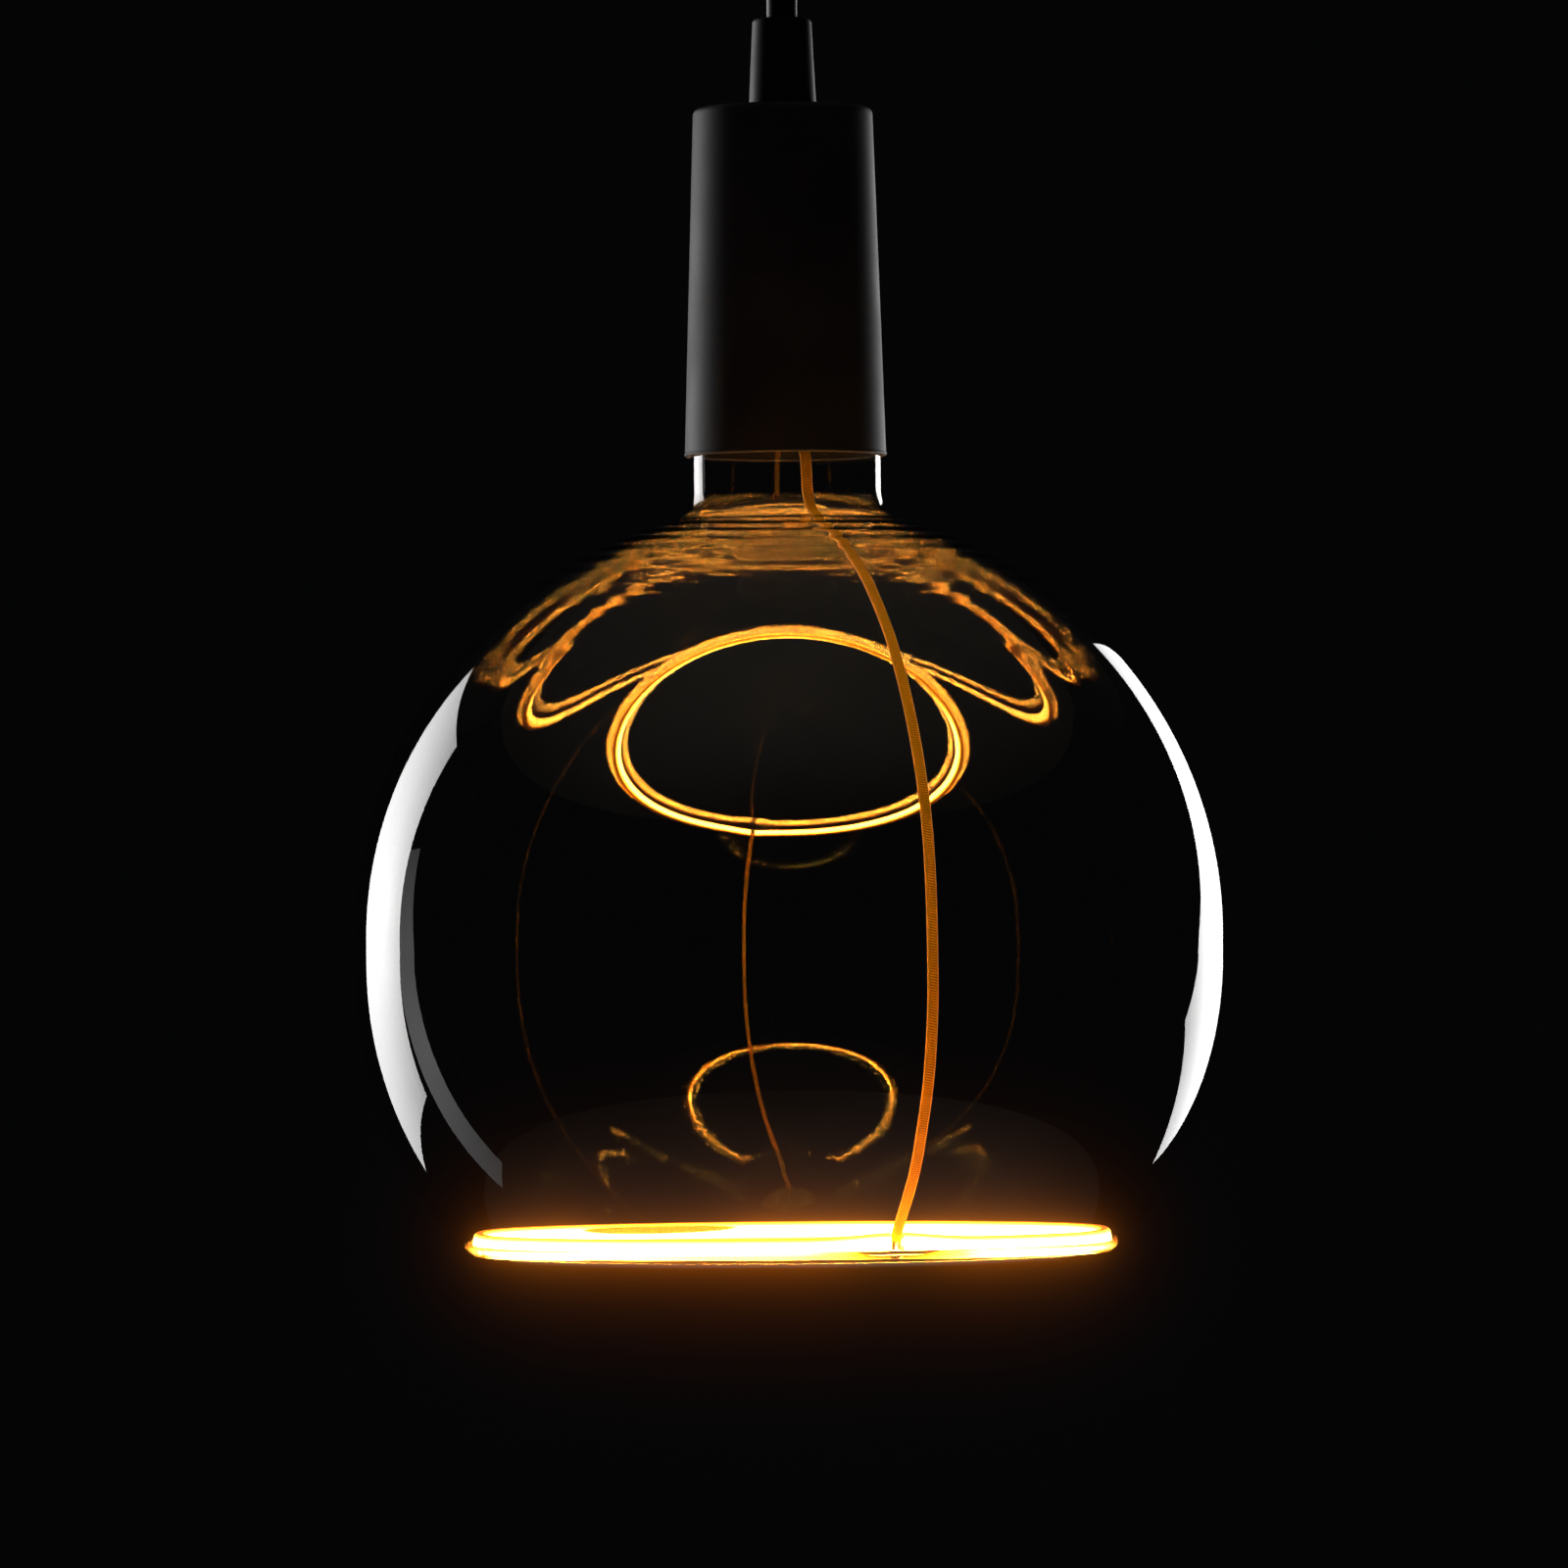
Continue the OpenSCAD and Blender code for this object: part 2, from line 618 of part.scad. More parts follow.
// Edison thread: at height h the radius is a mean plus a wave that turns once a pitch
function thread_ring(r, wave, h) = [for (j = [0:thread_sides - 1]) let (u = 360 * j / thread_sides)
    (r + wave * cos(u - 360 * (h - thread_low) / thread_pitch)) * [cos(u), sin(u)]];
function raise(ring, h) = [for (p = ring) [p[0], p[1], h]];
function run_out(h) = let (turns = min(h - thread_low, thread_top - h) / thread_pitch)
    max(0, min(1, 2 * turns));
module male_thread() {
    n = ceil(cap_thread_h / thread_pitch * thread_rings);
    loft([for (i = [0:n]) let (h = thread_low + cap_thread_h * i / n, wave = thread_wave * run_out(h))
        raise(thread_ring(thread_r - thread_wave + wave, wave, h), h)]);
}
module female_thread(low, high) {
    n = ceil((high - low) / thread_pitch * thread_rings);
    loft([for (i = [0:n]) let (h = low + (high - low) * i / n)
        raise(thread_ring(shell_ri, thread_wave, h), h)]);
}
module screw_cap() color(nickel_c) at_rim() difference() {
    root_r = thread_r - thread_wave - 3 * touch;
    union() {
        lathe([[0, cap_low], [skirt_r, cap_low], [skirt_r, stem_top + 2 * touch + cap_wall / 2],
            [root_r, thread_low], [root_r, thread_top], [cap_lip_r, cap_top], [0, cap_top]]);
        male_thread();
    }
    lathe([[0, cap_low - past], [skirt_ri, cap_low - past], [skirt_ri, stem_top + touch],
        [cap_ri, thread_low - cap_wall / 2], [cap_ri, thread_top],
        [cap_lip_r - cap_wall, cap_top - cap_wall], [cap_hole_r, cap_top - cap_wall],
        [cap_hole_r, cap_top + past], [0, cap_top + past]]);
}
module cap_cement() color("#d8cfb4") at_rim() pipe(skirt_ri - touch, mouth_r + touch, cap_low, mouth_top);
module cap_insulator() color(black_c) at_rim() {
    hole = contact_wire_r + 2 * touch;
    lathe([[hole, thread_top], [cap_hole_r - touch, thread_top], [cap_hole_r - touch, cap_top + touch],
        [cap_lip_r, cap_top + touch], [contact_d / 2 + 0.5, insulator_top], [hole, insulator_top]]);
}
module centre_contact() color(brass_c) at_rim() {
    low = insulator_top + touch;
    r = contact_d / 2;
    bow = (r * r + contact_h * contact_h / 4) / contact_h;
    rim = asin(r / bow);
    lathe(concat([[0, low], [r, low]], arc(0, contact_top - bow, bow, 90 - rim, 90, 8)));
}

// The driver sits on its round board inside the cap's insulating liner
module driver_liner() color("#e6e6e2") at_rim() {
    pipe(liner_r, liner_ri, liner_low, liner_low + liner_h);
    pipe(liner_r - touch, liner_ri - 1.5, ledge_low, ledge_low + ledge_h);
}
module driver_board() color("#2f6b3c") at_rim() rod(board_r, board_low, board_top, mid_fn);
module smoothing_capacitor() color("#2c2f45") at_rim() translate(capacitor_at) {
    r = capacitor_d / 2;
    neck = capacitor_h * 0.12;
    lathe([[0, part_low], [r, part_low], [r, part_low + neck], [r - 0.3, part_low + neck * 1.5],
        [r, part_low + neck * 2], [r, part_low + capacitor_h - 0.4], [r - 0.4, part_low + capacitor_h],
        [0, part_low + capacitor_h]], small_fn);
}
module choke_coil() color("#a8562c") at_rim() translate(choke_at) {
    r = choke_d / 2;
    flange = choke_h / 7;
    winding = r * 0.86;
    lathe([[0, part_low], [r, part_low], [r, part_low + flange], [winding, part_low + flange],
        [winding, part_low + choke_h - flange], [r, part_low + choke_h - flange],
        [r, part_low + choke_h], [0, part_low + choke_h]], small_fn);
}
module bridge_rectifier() color(black_c) at_rim() translate(rectifier_at) {
    block(rectifier_l, rectifier_w, part_low + 0.3, part_low + 0.3 + rectifier_h);
    for (x = [-1, 1]) for (y = [-1, 1]) translate([x * rectifier_l * 0.3, y * (rectifier_w / 2 - 0.1), 0])
        block(0.6, 0.8, part_low, part_low + 1);
}
module fuse_resistor() color("#5b7c8d") at_rim() translate(fuse_at) {
    high = part_low + fuse_d / 2 + 0.3;
    translate([-fuse_l / 2, 0, high]) rotate([0, 90, 0]) cylinder(d = fuse_d, h = fuse_l, $fn = small_fn);
    both_sides(fuse_l / 2 - 0.4) rod(0.3, part_low, high);
}
module contact_wire() color(nickel_c) at_rim() rod(contact_wire_r, part_low, insulator_top);
module shell_wire() color(nickel_c) at_rim() translate([0, shell_wire_r, 0])
    rod(0.3, part_low, thread_top + 0.4);

// Pendant holder: the sleeve covers the lampholder and is clamped under the grip
module holder_sleeve() color(black_c) at_rim() rotate_extrude($fn = big_fn) {
    difference() {
        taper_outline(sleeve_rim_r, sleeve_top_r, sleeve_h, sleeve_round);
        taper_outline(sleeve_rim_r, sleeve_top_r, sleeve_h, sleeve_round, sleeve_wall, past);
        translate([0, sleeve_h - sleeve_wall - past]) square([nipple_r + 0.2, sleeve_wall + 2 * past]);
        square([sleeve_rim_r + past, rim_bead]);
    }
    translate([sleeve_rim_r - sleeve_wall / 2, rim_bead]) circle(rim_bead, $fn = small_fn);
}
module socket_body() color(black_c) at_rim() lathe([[bore_r + 0.8, body_low], [socket_r - 1.2, body_low],
    [socket_r, body_low + 1.2], [socket_r, spigot_low], [spigot_r, spigot_low], [spigot_r, block_top],
    [bore_r, block_top], [bore_r, body_low + 0.8]]);
module socket_shell() color(brass_c) at_rim() difference() {
    rod(shell_r, shell_low, shell_top, mid_fn);
    female_thread(shell_low - past, shell_top - shell_wall);
    rod(shell_hole_r, shell_top - past, shell_top + past, mid_fn);
}
module contact_block() color(ceramic_c) at_rim() difference() {
    air = 4 * touch;
    rod(block_r, block_low, block_top, mid_fn);
    both_sides(terminal_x)
        block(terminal_w + air, terminal_l + air, block_top - pocket_h, block_top + past);
    for (x = [spring_x, -link_x]) translate([x, 0, 0])
        block(spring_t + air, spring_w + air, block_low - past, block_top);
    translate([-link_x - link_foot / 2, 0, 0])
        block(link_foot + spring_t + air, spring_w + air,
            block_low - past, block_low + spring_t + air / 2);
}
module centre_spring() color(brass_c) at_rim() translate([0, spring_w / 2, 0]) rotate([90, 0, 0])
    linear_extrude(spring_w) {
        half = spring_t / 2;
        knee = spring_low + 1.1;
        polygon([[-3.5, spring_low + 0.4], [-1, spring_low], [1, spring_low], [spring_x + half, knee],
            [spring_x + half, terminal_low - touch], [spring_x - half, terminal_low - touch],
            [spring_x - half, knee + half], [1, spring_low + spring_t], [-1, spring_low + spring_t],
            [-3.5, spring_low + 0.4 + spring_t]]);
    }
module shell_link() color(brass_c) at_rim() {
    translate([-link_x, 0, 0]) block(spring_t, spring_w, block_low, terminal_low - touch);
    translate([-link_x - link_foot / 2, 0, 0])
        block(link_foot + spring_t, spring_w, block_low, block_low + spring_t);
}
module terminals() color(brass_c) at_rim() both_sides(terminal_x) difference() {
    block(terminal_w, terminal_l, terminal_low, terminal_top);
    translate([0, wire_hole_y, 0]) rod(core_d / 2 + 3 * touch, terminal_top - 2.4, terminal_top + past);
    translate([0, -wire_hole_y, 0])
        rod(terminal_screw_d / 2 + screw_fit, terminal_low + 0.8, terminal_top + past);
}
module terminal_screws() color(steel_c) at_rim() both_sides(terminal_x) translate([0, -wire_hole_y, 0]) {
    head = terminal_top + touch;
    rod(terminal_screw_d / 2, terminal_low + 1, head + 0.2);
    difference() {
        rod(terminal_screw_d * 0.7, head, head + 1.4);
        block(terminal_screw_d * 2, 0.7, head + 0.7, head + 1.4 + past);
    }
}
module socket_cap() color(black_c) at_rim() difference() {
    low = spigot_low + touch;
    wall_r = socket_r - socket_cap_wall;
    union() {
        lathe(concat([[wall_r, low], [socket_r, low]],
            arc(socket_r - 2.5, plate_top - 2.5, 2.5, 0, 90, 6),
            [[hub_d / 2, plate_top], [hub_d / 2, hub_top], [grip_bore_r, hub_top],
            [grip_bore_r, chamber_top], [wall_r - 1, chamber_top], [wall_r, chamber_top - 1]]));
        pipe(block_r - touch, block_r - 1.2, block_top + touch, chamber_top + touch);
    }
    translate([0, -tag_y, 0]) rod(core_d / 2 + 4 * touch, chamber_top - past, plate_top + past);
}
module threaded_nipple() color(steel_c) at_rim() pipe(nipple_r, nipple_ri, nipple_low, nipple_top);
module lock_washer() color(steel_c) at_rim() difference() {
    pipe(washer_d / 2, nipple_r + 3 * touch, washer_low, washer_low + washer_t);
    for (i = [1:washer_teeth]) rotate(360 * i / washer_teeth) translate([washer_d / 2, 0, 0])
        rotate(45) block(1.2, 1.2, washer_low - past, washer_low + washer_t + past);
}
module earth_tag() color(brass_c) at_rim() difference() {
    union() {
        rod(tag_r, tag_low, tag_low + tag_t, mid_fn);
        translate([0, -tag_y / 2, 0]) block(core_d + 1, tag_y, tag_low, tag_low + tag_t);
        translate([0, -tag_y, 0]) rod(core_d / 2 + 0.7, tag_low - 3, tag_low + tag_t);
    }
    rod(nipple_r + 3 * touch, tag_low - past, tag_low + tag_t + past, mid_fn);
    translate([0, -tag_y, 0]) rod(core_d / 2 + 3 * touch, tag_low - 3 - past, tag_low);
}
module hex_nut(low) difference() {
    rod(nut_flats / 2 / cos(30), low, low + nut_h, 6);
    rod(nipple_r + screw_fit, low - past, low + nut_h + past, mid_fn);
}
module lock_nut() color(steel_c) at_rim() hex_nut(nut_low);

// Tapered grip that squeezes a split collet on to the cord; the gland is the same, turned over
module grip_shape(h, bore_h) rotate_extrude($fn = mid_fn) difference() {
    taper_outline(grip_base_d / 2, grip_top_d / 2, h, grip_round);
    translate([0, -past]) square([cord_hole_r, h + 2 * past]);
    translate([0, -past]) square([grip_bore_r, bore_h + past]);
}
module collet_shape(low, high) difference() {
    pipe(grip_bore_r - touch, cord_d / 2 + touch, low, high);
    translate([0, -grip_bore_r / 2, 0]) block(1, grip_bore_r, low - past, high + past);
    for (a = [30, 150]) rotate(a) translate([grip_bore_r, 0, 0]) block(1, 1, low - past, high + past);
}
module cord_grip() color(black_c) at_rim() translate([0, 0, sleeve_h + touch])
    grip_shape(grip_h - touch, grip_h - grip_lip);
module grip_collet() color("#d9d9d4") at_rim()
    collet_shape(nipple_top + touch, sleeve_h + grip_h - grip_lip);
module cord_end() color(black_c) at_rim() rod(cord_d / 2, cord_end_low, sleeve_h + grip_h);

// Cores from the cord's cut end to the terminals and the earth tag
core_start = cord_end_low - touch;
core_in = terminal_top - 2.2;
core_x = 1.6;
core_y = 0.9;
earth_y = -1.85;
module core_to_terminal(side) at_rim() tube(smooth_path([
    [core_x * side, core_y, core_start], [core_x * side, core_y, core_start - 1.1],
    [2.2 * side, 1, core_start - 2.1], [3.4 * side, 1.2, chamber_top - 0.85],
    [5.2 * side, 1.5, chamber_top - 1.25], [(terminal_x - 1.2) * side, 1.8, chamber_top - 1.5],
    [(terminal_x - 0.2) * side, wire_hole_y, terminal_top + 1.1],
    [terminal_x * side, wire_hole_y, terminal_top],
    [terminal_x * side, wire_hole_y, core_in]], 2), core_d / 2);
module core_live() color("#6b4a2e") core_to_terminal(1);
module core_neutral() color("#2d5fa8") core_to_terminal(-1);
module core_earth() color("#6f9a3a") at_rim() tube(smooth_path([
    [0, earth_y, core_start], [0, earth_y, core_start - 1.3], [0, -2.4, chamber_top - 0.65],
    [0, -3.8, chamber_top - 1.65], [0, -6, chamber_top - 2.05], [0, 2.2 - tag_y, chamber_top - 2.05],
    [0, 0.7 - tag_y, chamber_top - 1.45], [0, -tag_y, chamber_top - 0.15], [0, -tag_y, plate_top],
    [0, -tag_y, tag_low - 0.4]], 2), core_d / 2, 8, [1, 0, 0]);

module supply_cord() color(black_c) translate([0, 0, cord_top_z])
    tube(cord_route, cord_d / 2, cord_sides);

// Ceiling cup that closes over the bracket, with the gland under it
module cup_gland() color(black_c) translate([0, 0, gland_z - touch]) mirror([0, 0, 1])
    grip_shape(gland_h - touch, gland_h - grip_lip);
module gland_nipple() color(steel_c)
    pipe(nipple_r, nipple_ri, gland_z - gland_nipple_in, gland_nipple_top);
module gland_nut() color(steel_c) hex_nut(gland_nut_z);
module gland_collet() color("#d9d9d4")
    collet_shape(cord_top_z + grip_lip + touch, gland_z - gland_nipple_in - touch);
module cup_cord_end() color(black_c) rod(cord_d / 2, cord_top_z, cup_cord_z);
module ceiling_cup() color(black_c) difference() {
    mirror([0, 0, 1]) rotate_extrude($fn = big_fn) difference() {
        taper_outline(cup_r, cup_r, cup_h, cup_round);
        taper_outline(cup_r, cup_r, cup_h, cup_round, cup_wall, past);
        translate([0, cup_h - cup_wall - past]) square([nipple_r + 0.2, cup_wall + 2 * past]);
    }
    translate([-cup_d, 0, cup_screw_z]) rotate([0, 90, 0])
        cylinder(d = cup_screw_d + 4 * touch, h = 2 * cup_d, $fn = small_fn);
}
module ceiling_bracket() color(steel_c) difference() {
    union() {
        block(2 * leg_x, bracket_w, -bracket_t, 0);
        both_sides(leg_x - bracket_t / 2) block(bracket_t, bracket_w, -bracket_t - bracket_leg, 0);
    }
    both_sides(slot_spacing / 2) translate([0, 0, -bracket_t - past])
        linear_extrude(bracket_t + 2 * past) {
        square([slot_l - slot_w, slot_w], center = true);
        both_sides((slot_l - slot_w) / 2) circle(d = slot_w, $fn = small_fn);
    }
    translate([-cup_d, 0, cup_screw_z]) rotate([0, 90, 0])
        cylinder(d = cup_screw_d + 2 * screw_fit, h = 2 * cup_d, $fn = small_fn);
}
module cup_screws() color(black_c) for (side = [0, 180]) rotate(side) translate([0, 0, cup_screw_z])
    rotate([0, 90, 0]) {
        rod(cup_screw_d / 2, leg_x - bracket_t - 1.5, cup_r + 0.2);
        difference() {
            rod(cup_screw_d * 0.85, cup_r + touch, cup_r + 2.2);
            block(0.8, cup_screw_d * 2, cup_r + 1.2, cup_r + 2.2 + past);
        }
    }
module connector_block() color("#e9e7df") difference() {
    block(connector_l, connector_w, connector_z, connector_z + connector_h);
    for (x = [-1:1]) translate([x * connector_pole, 0, 0]) {
        rod(connector_hole_r, connector_z - past, connector_z + connector_h * 0.6);
        translate([0, -connector_w / 2 - past, connector_z + connector_h / 2]) rotate([-90, 0, 0])
            cylinder(r = connector_screw_r + 2 * touch, h = connector_w / 2 + past - 2.2, $fn = small_fn);
    }
}
module connector_screws() color(steel_c) for (x = [-1:1])
    translate([x * connector_pole, -2.2 - touch, connector_z + connector_h / 2]) rotate([90, 0, 0])
        difference() {
            cylinder(r = connector_screw_r, h = connector_w / 2 - 3, $fn = small_fn);
            block(connector_screw_r * 3, 0.6, connector_w / 2 - 3.7, connector_w / 2);
        }
module cup_cores() color("#6b4a2e") for (x = [-1:1]) {
    y = x == 0 ? earth_y : core_y;
    tube(smooth_path([
        [core_x * x, y, cup_cord_z + touch], [core_x * x, y, cup_cord_z + 0.6],
        [core_x * x, y, cup_cord_z + 1.2], [4.4 * x, 0.4, cup_cord_z + 3.4],
        [connector_pole * x, 0, connector_z - 1.6], [connector_pole * x, 0, connector_z + 0.4],
        [connector_pole * x, 0, connector_z + 3]], 2), core_d / 2);
}

glass_globe();
glass_stem();
filament_strip();
filament_ribbon();
filament_lugs();
filament_adhesive();
filament_lead();
lead_splices();
lead_in_wires();
screw_cap();
cap_cement();
cap_insulator();
centre_contact();
contact_wire();
shell_wire();
driver_liner();
driver_board();
smoothing_capacitor();
choke_coil();
bridge_rectifier();
fuse_resistor();
holder_sleeve();
socket_body();
socket_shell();
contact_block();
centre_spring();
shell_link();
terminals();
terminal_screws();
socket_cap();
threaded_nipple();
lock_washer();
earth_tag();
lock_nut();
cord_grip();
grip_collet();
cord_end();
core_live();
core_neutral();
core_earth();
supply_cord();
cup_gland();
gland_nipple();
gland_nut();
gland_collet();
ceiling_cup();
ceiling_bracket();
cup_screws();
connector_block();
connector_screws();
cup_cord_end();
cup_cores();
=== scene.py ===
"""Looks of a clear globe lamp with a glowing filament ring, in its black pendant holder."""

import math

import bpy
import numpy as np
from bpy.props import FloatProperty, FloatVectorProperty, IntProperty, PointerProperty
from mathutils import Matrix, Vector


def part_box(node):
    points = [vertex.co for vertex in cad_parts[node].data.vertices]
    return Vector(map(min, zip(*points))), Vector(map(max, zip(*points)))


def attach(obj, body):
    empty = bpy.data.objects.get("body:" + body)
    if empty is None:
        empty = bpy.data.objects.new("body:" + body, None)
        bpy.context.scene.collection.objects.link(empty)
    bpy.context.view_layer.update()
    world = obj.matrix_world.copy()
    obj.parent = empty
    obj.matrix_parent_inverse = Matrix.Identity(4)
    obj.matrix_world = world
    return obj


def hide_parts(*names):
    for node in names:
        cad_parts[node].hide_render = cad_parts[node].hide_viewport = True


bl_info = {
    "name": "Globe Lamp Looks",
    "version": (1, 0, 0),
    "blender": (4, 5, 0),
    "location": "3D View > Sidebar > Globe Lamp",
    "description": "Builds the visible surfaces and finishes of a pendant globe lamp",
    "category": "Object",
}

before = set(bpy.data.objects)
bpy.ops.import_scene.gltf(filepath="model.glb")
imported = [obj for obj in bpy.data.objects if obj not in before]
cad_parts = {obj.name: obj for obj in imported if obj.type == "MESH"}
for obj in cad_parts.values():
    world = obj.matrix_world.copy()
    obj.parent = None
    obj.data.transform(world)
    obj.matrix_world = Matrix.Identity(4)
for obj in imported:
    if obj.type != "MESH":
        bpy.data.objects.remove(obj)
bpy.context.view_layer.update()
MM = 0.001
# Height near the globe's middle, which the softboxes face
GLOBE_MIDDLE = -0.29
# Heights of the modelled parts that the new surfaces meet
RIM = float(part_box("holder_sleeve")[0][2])
GRIP_TOP = float(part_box("cord_grip")[1][2])
CUP_LOW = float(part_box("ceiling_cup")[0][2])
GLAND_LOW = float(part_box("cup_gland")[0][2])


def linear(code):
    """The linear colour of an sRGB hex code such as #c08030, with an alpha of one."""
    parts = [int(code[i : i + 2], 16) / 255 for i in (1, 3, 5)]
    return [c / 12.92 if c <= 0.04045 else ((c + 0.055) / 1.055) ** 2.4 for c in parts] + [1.0]


def length(name, description, default, low=0.0, high=5.0):
    """A size in metres for a property group."""
    return FloatProperty(name=name, description=description, default=default, min=low, max=high,
                         precision=5, unit="LENGTH", subtype="DISTANCE")


def angle(name, description, degrees):
    """An angle for a property group, given in degrees."""
    return FloatProperty(name=name, description=description, default=math.radians(degrees),
                         subtype="ANGLE")


def amount(name, description, default, low=0.0):
    """A plain number for a property group."""
    return FloatProperty(name=name, description=description, default=default, min=low)


def colour(name, description, code):
    """A surface colour for a property group, given as an sRGB hex code."""
    return FloatVectorProperty(name=name, description=description, default=linear(code), size=4,
                               min=0, max=1, subtype="COLOR")


class GlassSizes(bpy.types.PropertyGroup):
    """Sizes of the blown globe, its neck and its stem."""

    globe_r: length("Globe radius", "Outer radius of both half globes", 0.1)
    band: length("Band", "Height of the straight band between the half globes", 0.0058)
    drop: length("Drop", "Depth of the flat bottom under the lower half's middle", 0.0674)
    corner: length("Corner", "Outer rounding round the flat bottom", 0.0048)
    wall: length("Wall", "Thickness of the glass", 0.0012)
    neck_r: length("Neck radius", "Outer radius of the neck", 0.0219)
    neck_shown: length("Neck shown", "Straight neck below the sleeve's rim", 0.008)
    fillet: length("Fillet", "Hollow rounding from neck to globe", 0.0068)
    neck_in: length("Neck in", "Straight neck inside the sleeve", 0.004)
    shoulder_h: length("Shoulder height", "Height over which the neck draws in", 0.02)
    mouth_r: length("Mouth radius", "Outer radius of the mouth", 0.0124)
    mouth_h: length("Mouth height", "Height of the straight mouth", 0.008)
    tint: colour("Tint", "What the glass does to white light", "#f8f7f1")


class FilamentSizes(bpy.types.PropertyGroup):
    """Sizes and light of the glowing strip and its lead."""

    strip_h: length("Strip height", "Height of the glowing strip", 0.0046)
    strip_t: length("Strip thickness", "Thickness of the glowing strip", 0.0028)
    strip_out: length("Strip radius", "Outer radius of the ring", 0.07312)
    level: length("Level", "Height of the strip's middle over the glass bottom", 0.0037)
    tilt: length("Tilt", "How much higher the front lies than the back", 0.0012)
    end_lift: length("End lift", "Rise of both ends at their joint", 0.0011)
    end_gap: length("End gap", "Half of the gap between the ends", 0.0015)
    chip_pitch: length("Chip pitch", "Distance from one light-emitting chip to the next", 0.00155)
    lead_w: length("Lead width", "Width of the flat two-core lead", 0.0025)
    lead_t: length("Lead thickness", "Thickness of the flat two-core lead", 0.0012)
    lead_turn: angle("Lead turn", "Direction of the lead, from the front to the right", 18.6)
    glow: amount("Glow", "Strength of the strip's light", 9.0)
    glow_core: colour("Glow core", "Light straight over the chips", "#ffb046")
    glow_body: colour("Glow body", "Light of the silicone beside the chips", "#ff840e")
    glow_edge: colour("Glow edge", "Light at the strip's edges", "#1e0700")


class HolderSizes(bpy.types.PropertyGroup):
    """Sizes of the sleeve, grips and cord, and the tones of their black."""

    sleeve_h: length("Sleeve height", "Height of the tapered sleeve", 0.08)
    rim_r: length("Rim radius", "Outer radius of the sleeve's rim", 0.0231)
    top_r: length("Top radius", "Outer radius of the sleeve's narrow end", 0.0206)
    sleeve_wall: length("Sleeve wall", "Thickness of the sleeve's metal", 0.0007)
    rim_bead: length("Rim bead", "Radius of the rolled bead on the rim", 0.0005)
    grip_low_r: length("Grip radius", "Radius of the grips where they meet metal", 0.00775)
    grip_top_r: length("Grip end radius", "Radius of the grips at their narrow end", 0.00675)
    cord_d: length("Cord diameter", "Outer diameter of the supply cord", 0.007)
    coat_dark: colour("Coating, dark", "Satin black coating where it is darkest", "#161618")
    coat_light: colour("Coating, light", "Satin black coating where it is lightest", "#202022")
    moulding_dark: colour("Moulding, dark", "Black plastic where it is darkest", "#131315")
    moulding_light: colour("Moulding, light", "Black plastic where it is lightest", "#1e1e21")


class StudioSettings(bpy.types.PropertyGroup):
    """Camera, floor and lights."""

    distance: length("Distance", "From the camera to the lamp's axis", 2.137, 0.5, 20)
    aside: length("Aside", "Camera's place to the right of the lamp's axis", -0.00099, -1, 1)
    height: length("Camera height", "Camera's height, where the ceiling is at 0", -0.2986, -5, 5)
    tip: angle("Tip", "How far the camera is tipped up", 0.93)
    roll: angle("Roll", "How far the camera is turned about its view", -0.49)
    lens: amount("Lens", "Focal length for a 36 mm sensor, in millimetres", 213.75, 10)
    floor_z: length("Floor", "Height of the floor", -1.3, -5, 0)
    floor_r: length("Floor radius", "Radius of the round floor", 1.6)
    left_light: amount("Left softbox", "Radiance of the left softbox", 0.058)
    right_light: amount("Right softbox", "Radiance of the right softbox", 0.052)
    top_light: amount("Top softbox", "Radiance of the softbox overhead", 0.024)
    exposure: amount("Exposure", "Brightening of the picture, in stops", 3.7, -10)
    segments: IntProperty(name="Segments", description="Faces round a large turned piece",
                          default=192, min=24)


GROUPS = {"globe_lamp_glass": GlassSizes, "globe_lamp_filament": FilamentSizes,
          "globe_lamp_holder": HolderSizes, "globe_lamp_studio": StudioSettings}


# Surfaces

def arc(centre, radius, start, end, count):
    """Points on a circle: centre + radius (cos t, sin t), with t from start to end in degrees."""
    turn = np.radians(np.linspace(start, end, count))
    return np.stack([centre[0] + radius * np.cos(turn), centre[1] + radius * np.sin(turn)], 1)


def skin(name, points, uv=None):
    """One skin over a grid of points (rows, columns, 3). Columns run anticlockwise about the way
    the rows go, so faces look outwards. Points that fall together become one corner, which closes
    seams and poles, and a four-sided face with two such corners becomes a triangle."""
    rows, columns = points.shape[:2]
    flat = points.reshape(-1, 3)
    _, first, index = np.unique(np.round(flat * 1e7).astype(np.int64), axis=0,
                                return_index=True, return_inverse=True)
    index = index.reshape(-1)
    grid = np.arange(rows * columns).reshape(rows, columns)
    quads = np.stack([grid[:-1, :-1], grid[:-1, 1:], grid[1:, 1:], grid[1:, :-1]], -1)
    quads = quads.reshape(-1, 4)
    corner = index[quads]
    same = corner == np.roll(corner, -1, axis=1)
    whole, pointed = same.sum(1) == 0, same.sum(1) == 1
    threes = quads[pointed][~same[pointed]].reshape(-1, 3)
    mesh = bpy.data.meshes.new(name)
    faces = index[quads[whole]].tolist() + index[threes].tolist()
    mesh.from_pydata(flat[first].tolist(), [], faces)
    if uv is not None:
        layer = mesh.uv_layers.new(name="along_and_round")
        order = np.concatenate([quads[whole].ravel(), threes.ravel()])
        layer.data.foreach_set("uv", uv.reshape(-1, 2)[order].ravel())
    mesh.shade_smooth()
    mesh.set_sharp_from_angle(angle=math.radians(35))
    mesh.validate()
    piece = bpy.data.objects.new(name, mesh)
    bpy.context.scene.collection.objects.link(piece)
    return piece


